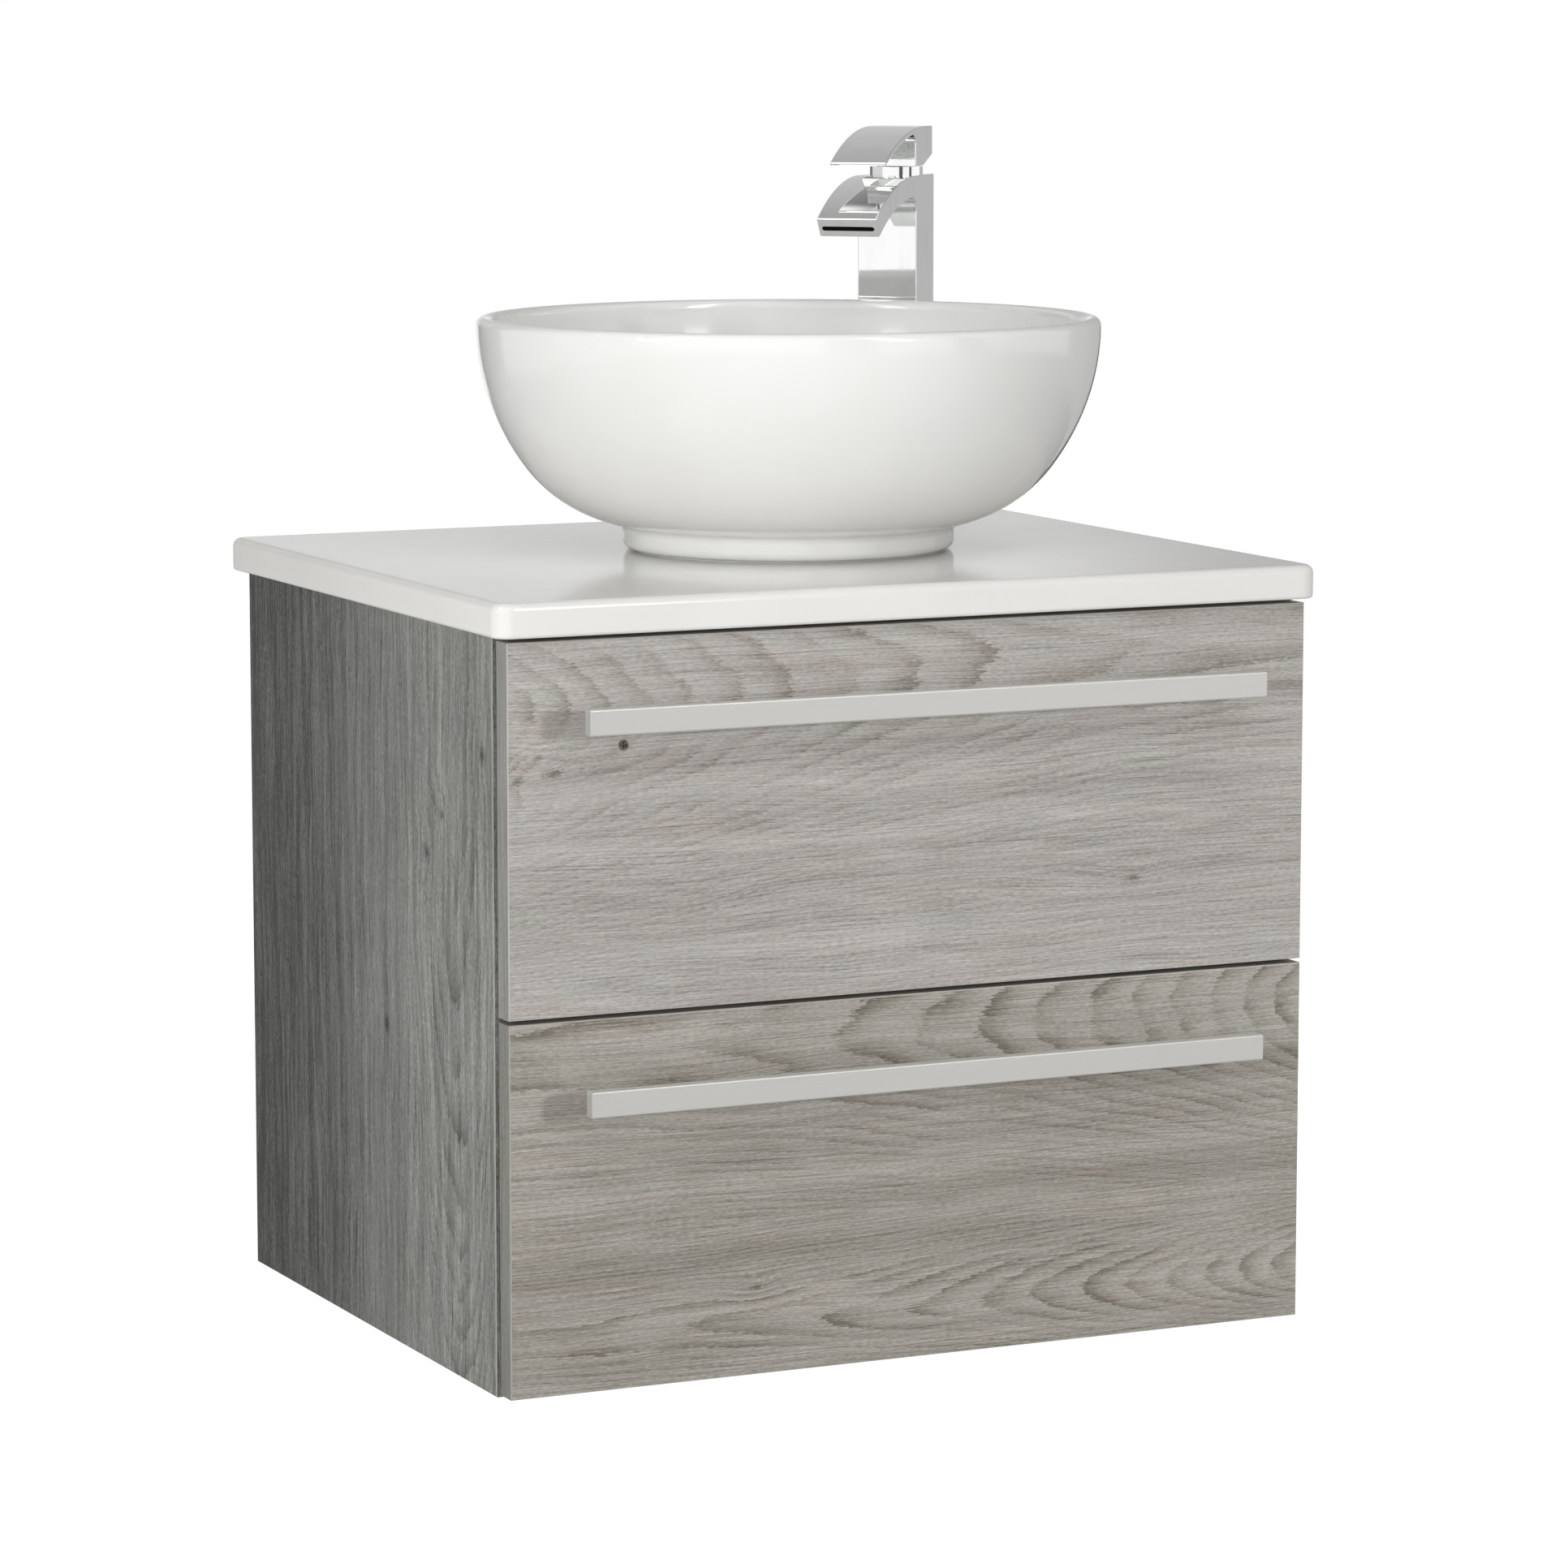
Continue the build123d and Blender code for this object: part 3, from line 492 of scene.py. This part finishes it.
def oak_streaks(finish, figure, u, grain):
    """Tone of strands, bands of colour, dark pores, and broad dark streaks and painted shade along the
    grain.
    """
    seed = figure["seed"]
    laminate = figure["laminate"]
    length, thickness = laminate["fibre"]
    share = laminate["streak_share"]
    strand_size = (length * share * strand_fibres[0], thickness * strand_fibres[1])
    band_size = (band_length * share, laminate["band_breadth"])
    pore_size = (pore_length * share, thickness * pore_fibres)
    strand = finish.noise((u, grain), strand_size, detail=3, roughness=0.55, seed=seed + 4) - 0.5
    band = finish.noise((u, grain), band_size, detail=3, seed=seed + 5) - 0.5
    pore = finish.step(finish.noise((u, grain), pore_size, detail=2, seed=seed + 7), *pore_step)
    tone = strand * laminate["strands"] + band * laminate["bands"] - pore * laminate["pores"]
    # Broad dark bands: streaks of the laminate, and painted shade towards a side panel's rear and the lower
    # front's bottom
    for line, width, depth in figure["streaks_and_painted_shade"]:
        off = (grain - line) / width
        tone = tone - e ** (off * off * -0.5) * depth
    return tone


def grey_oak(name, along, across, through, tones):
    """Oak laminate: arched growth rings, short fibres and knots, with painted highlights as pale lines at
    its edge bands.
    """
    figure = board_figures[name]
    seed = figure["seed"]
    laminate = figure["laminate"]
    finish = Finish(f"grey_oak_{name}")
    place = finish.place()
    facing = finish.facing()
    end = finish.step(facing[along], *face_step)
    face = finish.step(facing[through], *face_step)
    u = place[along] * (1 - end) + place[across] * end
    v = place[across] * face + place[through] * (1 - face)

    # Grain that drifts, sways and passes round the knots
    swell, heart = oak_knots(finish, figure, u, v)
    drift = finish.noise((u, v), grain_drift, detail=1, seed=seed) - 0.5
    sway = finish.noise((u, v), grain_sway, detail=1, seed=seed + 9) - 0.5
    grain = v + drift * drift_reach + swell * swell_reach + sway * laminate["waver"]

    # Tone from dark to pale, round a middle of 0
    late, near = oak_rings(finish, figure, u, v, drift, swell)
    fibre = finish.noise((u, grain), laminate["fibre"], detail=4, roughness=0.6, seed=seed + 3)
    tone = oak_lift + (fibre - 0.5) * laminate["fibres"] + oak_streaks(finish, figure, u, grain)
    tone = tone - (late - near * ring_mean) * figure["rings"] - heart * heart_dark
    colour = finish.mix(tones["mid"], tones["pale"], tone * tone_contrast)
    colour = finish.mix(colour, tones["dark"], tone * -tone_contrast)

    # Stains
    hue = finish.noise((u, grain), hue_patch, detail=2, seed=seed + 6)
    colour = finish.tint(colour, cool_stain, finish.step(hue, *cool_step))
    colour = finish.tint(colour, warm_stain, finish.step(hue, *warm_step))
    colour = finish.tint(colour, late_stain, late)
    colour = finish.tint(colour, end_stain, end)

    # Painted highlight: a pale line on the rounded edges, and behind a side panel's front edge band, where
    # the edge catches light
    sharp = facing[X].most(facing[Y]).most(facing[Z])
    edge_highlight = 1 - finish.step(sharp, *edge_step)
    if "edge_highlight_line" in figure:
        line = figure["edge_highlight_line"]
        edge_highlight = edge_highlight.most(finish.step(v, line, line - edge_highlight_width) * face)
    colour = finish.mix(colour, tones["pale"], edge_highlight * edge_highlight_share)
    rough = 0.5 + (fibre - 0.5) * 0.25
    normal = finish.bump(fibre, depth=0.15, strength=0.4)
    return finish.surface(Base_Color=colour, Roughness=rough, Normal=normal)


def melamine(name, colour, fleck):
    """Plain faced board with a fine linen press and a faint cloud."""
    finish = Finish(name)
    cloud = finish.cloud(size=90, detail=3)
    grain = finish.cloud(size=1.6, detail=2)
    shade = finish.step(cloud * 0.5 + grain * 0.5, 0.35, 0.65)
    base = finish.mix(colour, fleck, shade)
    normal = finish.bump(grain, depth=0.06, strength=0.6)
    return finish.surface(Base_Color=base, Roughness=0.42 + cloud * 0.2, Normal=normal)


def softwood(name):
    """Planed softwood with straight grain along X."""
    ring_width = 6.5
    ring_slope = 14
    sway_reach = 40
    finish = Finish(name)
    x, y, z = finish.place()
    sway = finish.noise((x, z, y), (300, 60, 60)) - 0.5
    rings = ((z + sway * sway_reach) / ring_width + y / ring_slope).fraction()
    fibre = finish.noise((x, z, y), (30, 1.2, 1.2), detail=3)
    shade = finish.step(rings * 0.7 + fibre * 0.5, 0.3, 1.1)
    base = finish.mix(srgb(222, 190, 142), srgb(178, 133, 84), shade)
    normal = finish.bump(fibre, depth=0.15, strength=0.5)
    return finish.surface(Base_Color=base, Roughness=0.6 + fibre * 0.15, Normal=normal)


def cast_white(name):
    """Glossy white countertop with a faint cloud and a slightly uneven gel coat."""
    finish = Finish(name)
    cloud = finish.cloud(size=140, detail=4)
    ripple = finish.cloud(size=26, detail=1)
    haze = finish.noise(finish.place(), (60, 45, 60), detail=3)
    base = finish.mix(srgb(227, 226, 222), srgb(231, 230, 226), finish.step(cloud, 0.35, 0.65))
    normal = finish.bump(ripple, depth=0.04, strength=0.3)
    return finish.surface(Base_Color=base, Roughness=0.08 + haze * 0.07, Normal=normal)


def glaze(name):
    """White glaze with a faint cloud and a soft ripple under a clear gloss."""
    finish = Finish(name)
    cloud = finish.cloud(size=120, detail=3)
    ripple = finish.cloud(size=18, detail=1)
    base = finish.mix(srgb(233, 233, 230), srgb(236, 236, 234), finish.step(cloud, 0.3, 0.7))
    normal = finish.bump(ripple, depth=0.04, strength=0.35)
    rough = 0.05 + cloud * 0.05
    return finish.surface(
        Base_Color=base, Roughness=rough, Normal=normal, Coat_Weight=0.4, Coat_Roughness=0.02)


def painted_slot_shade_mask(finish):
    """Painted shade: 1 on the walls of the slot in the spout's lip and 0 elsewhere."""
    x, y, z = finish.place()
    off_x = x - halfway("tap_collar", X)
    off_y = y - halfway("tap_collar", Y)
    past = off_x * tap_ahead[X] + off_y * tap_ahead[Y] - slot_mouth[0]
    across = off_x * tap_ahead[Y] - off_y * tap_ahead[X]
    over = z - slot_mouth[1]
    lean = radians(slot_lean)
    deep = over * sin(lean) - past * cos(lean)
    raised = past * sin(lean) + over * cos(lean)
    wide = finish.step(abs(across), slot_half[0] + slot_border, slot_half[0])
    tall = finish.step(abs(raised), slot_half[1] + slot_border, slot_half[1])
    behind = finish.step(deep, *slot_start)
    within = finish.step(deep, slot_depth + slot_end, slot_depth)
    return wide * tall * behind * within


def chrome(name):
    """Polished chrome with faint wiping marks, and painted shade inside the spout's slot, dark and not
    metal there.
    """
    finish = Finish(name)
    smear = finish.step(finish.noise(finish.place(), (14, 14, 40), detail=4), 0.45, 0.75)
    painted_slot_shade = painted_slot_shade_mask(finish)
    base = finish.mix(srgb(250, 251, 250), srgb(244, 246, 245), smear)
    # Painted shade: dark brown, rough and not metal inside the slot
    base = finish.mix(base, srgb(34, 29, 26), painted_slot_shade)
    rough = 0.02 + smear * 0.04 + painted_slot_shade * 0.5
    return finish.surface(Base_Color=base, Metallic=1 - painted_slot_shade, Roughness=rough, Specular_IOR_Level=0.0)


def satin_aluminium(name):
    """Anodised aluminium, brushed along X."""
    finish = Finish(name)
    place = finish.place()
    brush = finish.noise(place, (40, 0.15, 0.15), detail=2)
    cloud = finish.noise(place, (70, 40, 40), detail=2)
    base = finish.mix(srgb(206, 205, 201), srgb(211, 210, 206), finish.step(brush, 0.3, 0.7))
    rough = 0.42 + (brush - 0.5) * 0.12 + (cloud - 0.5) * 0.08
    return finish.surface(Base_Color=base, Metallic=0.4, Roughness=rough)


def nickel_with_painted_shade(name):
    """Dull nickel plating with darker patches, dark partly from its own plating and partly as painted shade
    for the handle's shadow that it sits in.
    """
    finish = Finish(name)
    cloud = finish.cloud(size=1.5, detail=3)
    base = finish.mix(srgb(96, 93, 84), srgb(138, 135, 126), finish.step(cloud, 0.35, 0.65))
    return finish.surface(Base_Color=base, Metallic=1.0, Roughness=0.3 + cloud * 0.15)


def plated_steel(name):
    """Zinc-plated sheet with its soft spangle."""
    finish = Finish(name)
    spangle = finish.cloud(size=9, detail=4, roughness=0.6)
    base = finish.mix(srgb(176, 180, 184), srgb(208, 211, 213), finish.step(spangle, 0.35, 0.65))
    return finish.surface(Base_Color=base, Metallic=1.0, Roughness=0.24 + spangle * 0.2)


def moulded(name, colour, worn, rough):
    """Moulded plastic or rubber with a fine texture."""
    finish = Finish(name)
    cloud = finish.cloud(size=40, detail=3)
    grain = finish.cloud(size=0.9, detail=1)
    base = finish.mix(colour, worn, finish.step(cloud, 0.35, 0.7))
    normal = finish.bump(grain, depth=0.03, strength=0.4)
    return finish.surface(Base_Color=base, Roughness=rough + (cloud - 0.5) * 0.12, Normal=normal)


def clear_rubber(name):
    """Clear soft rubber, a little cloudy."""
    finish = Finish(name)
    cloud = finish.cloud(size=3, detail=2)
    base = finish.mix(srgb(222, 222, 218), srgb(236, 236, 233), finish.step(cloud, 0.35, 0.65))
    return finish.surface(Base_Color=base, Roughness=0.2 + cloud * 0.2, Transmission_Weight=0.6, IOR=1.41)


def brass(name):
    """Turned brass with fine tool marks round its axis."""
    finish = Finish(name)
    x, y, z = finish.place()
    turned = finish.noise((z, x, y), (0.5, 60, 60), detail=2)
    cloud = finish.cloud(size=20, detail=3)
    shade = finish.step(turned * 0.6 + cloud * 0.4, 0.35, 0.65)
    base = finish.mix(srgb(196, 160, 92), srgb(221, 190, 120), shade)
    normal = finish.bump(turned, depth=0.03, strength=0.5)
    return finish.surface(Base_Color=base, Metallic=1.0, Roughness=0.22 + cloud * 0.16, Normal=normal)


def dress_nodes():
    """One finish for each slot of the record, with a figure of its own on each oak board."""
    slots = {}
    for piece in frame["record"]["subparts"]:
        slots.setdefault(piece["material_slot"], []).append(piece["node"])
    for front, tones in (("upper_front", upper_oak), ("lower_front", lower_oak_painted_shade)):
        wear([front], grey_oak(front, X, Z, Y, tones))
    # Side panels take the darker copy of the oak: painted shade
    for side in ("left_side_panel", "right_side_panel"):
        wear([side], grey_oak(side, Z, Y, X, side_oak_painted_shade))
    wear(slots["carcass_board"], melamine("carcass_melamine", srgb(126, 122, 114), srgb(140, 136, 128)))
    wear(slots["drawer_board"], melamine("drawer_melamine", srgb(186, 184, 179), srgb(198, 196, 191)))
    wear(slots["softwood"], softwood("planed_softwood"))
    wear(slots["countertop_white"], cast_white("countertop_gel_coat"))
    wear(slots["glazed_ceramic"], glaze("basin_glaze"))
    wear(slots["chrome"], chrome("polished_chrome"))
    wear(slots["satin_aluminium"], satin_aluminium("brushed_aluminium"))
    wear(slots["zinc_steel"], plated_steel("zinc_plate"))
    # The front screw is darker than the other screws, partly as painted shade
    wear(["front_screw"], nickel_with_painted_shade("screw_nickel_painted_shade"))
    wear(slots["seal_rubber"], moulded("seal_rubber", srgb(30, 30, 31), srgb(46, 46, 47), 0.6))
    wear(slots["clear_silicone"], moulded("sealant", srgb(214, 212, 206), srgb(224, 222, 217), 0.35))
    wear(slots["brass"], brass("turned_brass"))
    wear(slots["white_plastic"], moulded("trap_plastic", srgb(228, 228, 225), srgb(235, 235, 233), 0.28))
    cartridge = moulded("cartridge_plastic", srgb(92, 95, 100), srgb(110, 112, 116), 0.45)
    wear(slots["cartridge_plastic"], cartridge)


def pick(kind, chosen):
    """Selects, in edit mode, the faces or edges of the active piece that are chosen."""
    bpy.ops.mesh.select_mode(type=kind)
    bpy.ops.mesh.select_all(action="DESELECT")
    mesh = bpy.context.object.data
    shape = bmesh.from_edit_mesh(mesh)
    for item in shape.faces if kind == "FACE" else shape.edges:
        item.select_set(chosen(item))
    bmesh.update_edit_mesh(mesh)


def round_stud(name, radius, height, rounding):
    """A round stud on its base at the origin, with a rounded outer end. Left in edit mode."""
    tall = height / millimetres
    bpy.ops.object.select_all(action="DESELECT")
    bpy.ops.mesh.primitive_cylinder_add(
        vertices=round_corners, radius=radius / millimetres, depth=tall, location=(0, 0, tall / 2))
    bpy.context.object.name = name
    bpy.ops.object.transform_apply()
    bpy.ops.object.mode_set(mode="EDIT")
    pick("EDGE", lambda edge: all(corner.co.z > outer_end * tall for corner in edge.verts))
    bpy.ops.mesh.bevel(offset=rounding / millimetres, segments=rounding_steps)


def pick_outer_face(height):
    """Selects the flat face at the outer end of a stud."""
    end = outer_end * height / millimetres
    pick("FACE", lambda face: face.normal.z > mostly and face.calc_center_median().z > end)


def finished(material):
    """Ends a piece's shaping: back to object mode, smooth where it is round, and its finish."""
    bpy.ops.object.mode_set(mode="OBJECT")
    piece = bpy.context.object
    bpy.ops.object.shade_smooth_by_angle(angle=radians(smooth_angle))
    piece.data.materials.append(material)
    return piece


def screw_head(name, size, material):
    """A round screw head with a tapered cross recess."""
    radius, height, rounding, recess, depth = size
    round_stud(name, radius, height, rounding)
    head = finished(material)
    for turn in (0, 90):
        bpy.ops.object.select_all(action="DESELECT")
        bpy.ops.mesh.primitive_cube_add(size=1)
        cutter = bpy.context.object
        cutter.dimensions = [value / millimetres for value in (recess, recess_width, 2 * depth)]
        cutter.rotation_euler[Z] = radians(turn)
        cutter.location[Z] = height / millimetres
        bpy.ops.object.transform_apply()
        bpy.ops.object.mode_set(mode="EDIT")
        pick("FACE", lambda face: face.normal.z < -mostly)
        bpy.ops.transform.resize(value=(recess_taper, recess_taper, 1))
        bpy.ops.object.mode_set(mode="OBJECT")
        bpy.context.view_layer.objects.active = head
        cut = head.modifiers.new("recess", "BOOLEAN")
        cut.operation = "DIFFERENCE"
        cut.object = cutter
        bpy.ops.object.modifier_apply(modifier="recess")
        bpy.data.objects.remove(cutter)
    return head


def cover_cap(material):
    """A plastic cap with a rounded edge and a shallow dish."""
    round_stud("cover_cap", cap_radius, cap_height, cap_rounding)
    pick_outer_face(cap_height)
    bpy.ops.mesh.inset(thickness=cap_rim / millimetres)
    bpy.ops.mesh.inset(thickness=cap_slope / millimetres)
    bpy.ops.transform.translate(value=(0, 0, -cap_dish / millimetres))
    return finished(material)


def bumper(material):
    """A soft stud that a drawer front closes on."""
    round_stud("front_bumper", bumper_radius, bumper_height, bumper_rounding)
    pick_outer_face(bumper_height)
    bpy.ops.mesh.inset(thickness=bumper_rim / millimetres)
    bpy.ops.transform.translate(value=(0, 0, bumper_crown / millimetres))
    return finished(material)


def set_copy(model, name, place, way, body):
    """A copy of a small piece with its own mesh, on a place in millimetres and pointing a way."""
    bpy.ops.object.select_all(action="DESELECT")
    model.select_set(True)
    bpy.context.view_layer.objects.active = model
    bpy.ops.object.duplicate()
    piece = bpy.context.object
    piece.name = name
    turned = Vector(way).to_track_quat("Z", "Y").to_matrix().to_4x4()
    piece.matrix_world = Matrix.Translation(Vector(place) / millimetres) @ turned
    bpy.ops.object.transform_apply()
    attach(piece, body)


def set_runner_screws(flush, pan, drawer, side, sign):
    """Screws of one runner: flush ones into the cabinet and pan heads into the drawer's side."""
    runner = f"{drawer}_runner_outer"
    front_end = extent(runner, Y)[0]
    level = halfway(runner, Z)
    outer_web = extent(runner, X)[1] - runner_sheet
    inner_web = extent(f"{drawer}_side_right", X)[1] + runner_sheet
    for count, setback in enumerate(runner_screw_setbacks):
        name = f"{drawer}_{side}_runner_screw_{count}"
        line = front_end + setback
        outer = (sign * outer_web, line, level)
        inner = (sign * inner_web, line, level)
        set_copy(flush, f"{name}_outer", outer, (-sign, 0, 0), "cabinet")
        set_copy(pan, f"{name}_inner", inner, (sign, 0, 0), f"{drawer}_drawer")


def set_caps(cap, drawer, side, sign):
    """Caps on the inner face of one drawer side, near the front."""
    board = f"{drawer}_side_right"
    line = extent(board, Y)[0] + cap_setback
    for count, height in enumerate(cap_levels[drawer]):
        name = f"{drawer}_{side}_cap_{count}"
        place = (sign * extent(board, X)[0], line, height)
        set_copy(cap, name, place, (-sign, 0, 0), f"{drawer}_drawer")


def set_bumpers(stud, side, sign):
    """Bumpers on the front edge of one side panel."""
    edge = extent("right_side_panel", Y)[0]
    for count, height in enumerate(bumper_levels):
        place = (sign * halfway("right_side_panel", X), edge, height)
        set_copy(stud, f"{side}_bumper_{count}", place, (0, -1, 0), "cabinet")


def make_fittings():
    """Runner screws, caps on the drawer sides and bumpers behind the fronts."""
    zinc = nodes["upper_runner_outer"].data.materials[0]
    pan = screw_head("pan_screw", pan_head, zinc)
    flush = screw_head("flush_screw", flush_head, zinc)
    cap = cover_cap(moulded("cap_plastic", srgb(192, 190, 185), srgb(200, 198, 193), 0.4))
    stud = bumper(clear_rubber("bumper_rubber"))
    for side, sign in (("left", -1), ("right", 1)):
        for drawer in ("upper", "lower"):
            set_runner_screws(flush, pan, drawer, side, sign)
            set_caps(cap, drawer, side, sign)
        set_bumpers(stud, side, sign)
    for model in (pan, flush, cap, stud):
        bpy.data.objects.remove(model)


def make_camera():
    """Camera at the photograph's place, without shift."""
    bpy.ops.object.camera_add(location=camera_place)
    camera = bpy.context.object
    camera.rotation_euler = (radians(90 - camera_tilt), 0, radians(-camera_turn))
    camera.data.lens = camera_lens
    camera.data.clip_end = 2 * floor_size
    bpy.context.scene.camera = camera


def aim(item, target):
    """Turns a lamp or a sheet to a place, upright."""
    item.rotation_mode = "QUATERNION"
    item.rotation_quaternion = (Vector(target) - item.location).to_track_quat("-Z", "Y")


def softbox(name, place, width, height, watts):
    """A rectangular soft light that points at the object and that reflections do not see."""
    bpy.ops.object.light_add(type="AREA", location=place)
    lamp = bpy.context.object
    lamp.name = name
    lamp.data.shape = "RECTANGLE"
    lamp.data.size = width
    lamp.data.size_y = height
    lamp.data.energy = watts
    lamp.visible_glossy = False
    aim(lamp, lit_middle)
    return lamp


def link_to_drawer_faces(lamp, state):
    """Keeps a lamp to the drawer faces, or off them."""
    lit = bpy.data.collections.new(f"lit_by_{lamp.name}")
    for name in drawer_faces:
        lit.objects.link(nodes[name])
    for entry in lit.collection_objects:
        entry.light_linking.link_state = state
    lamp.light_linking.receiver_collection = lit


def make_light():
    """White surroundings for the camera and for reflections, plain ambient light and soft lamps."""
    for name, (place, width, height, watts, lit) in lamps.items():
        lamp = softbox(name, place, width, height, watts)
        if lit in link_states:
            link_to_drawer_faces(lamp, link_states[lit])

    world = bpy.data.worlds.new("studio")
    bpy.context.scene.world = world
    world.use_nodes = True
    sky = Nodes(world.node_tree)
    level = ambient_strength + sky.shown() * (1 - ambient_strength)
    glow = sky.node("ShaderNodeBackground", {}, {"Color": grey(1.0), "Strength": level})
    sky.node("ShaderNodeOutputWorld", {}, {"Surface": glow})


def make_floor():
    """Plain pale floor, well below the hung cabinet, that keeps a soft shadow."""
    bpy.ops.mesh.primitive_plane_add(size=floor_size, location=(0, 0, -floor_drop))
    floor = bpy.context.object
    floor.name = "floor"
    finish = Finish("pale_floor")
    matt = finish.node("ShaderNodeBsdfDiffuse", {}, {"Color": grey(floor_white)})
    glow = finish.node("ShaderNodeEmission", {}, {"Color": grey(1.0), "Strength": floor_light})
    shader = finish.node("ShaderNodeMixShader", {}, {0: finish.shown() * floor_glow, 1: matt, 2: glow})
    floor.data.materials.append(finish.close(shader))


def sheet_glow(name, brightness):
    """Light of one reflected sheet, dimmer towards its head, with faded borders."""
    finish = Finish(name)
    across, up = finish.split(finish.node("ShaderNodeTexCoord", output="Object"))[:2]
    border = 0.5 - abs(across).most(abs(up))
    clear = finish.node("ShaderNodeBsdfTransparent")
    tone = finish.mix(grey(sheet_foot), grey(sheet_head), up + 0.5)
    glow = finish.node("ShaderNodeEmission", {}, {"Color": tone, "Strength": brightness})
    seen = finish.step(border, 0.0, sheet_fade)
    return finish.close(finish.node("ShaderNodeMixShader", {}, {0: seen, 1: clear, 2: glow}))


def make_reflected_sheets():
    """Sheets round the object that reflections alone see."""
    for name, (turn, distance, middle, aimed, width, height, brightness) in reflected_sheets.items():
        bpy.ops.mesh.primitive_plane_add(size=1.0)
        sheet = bpy.context.object
        sheet.name = name
        sheet.scale = (width, height, 1)
        sheet.location = (-distance * sin(radians(turn)), distance * cos(radians(turn)), middle)
        aim(sheet, (0, 0, aimed))
        sheet.data.materials.append(sheet_glow(f"{name}_glow", brightness))
        sheet.visible_camera = False
        sheet.visible_diffuse = False
        sheet.visible_transmission = False
        sheet.visible_shadow = False


bpy.ops.object.select_all(action="DESELECT")
dress_nodes()
make_fittings()
make_camera()
make_light()
make_floor()
make_reflected_sheets()

bpy.context.scene.view_settings.view_transform = "Standard"
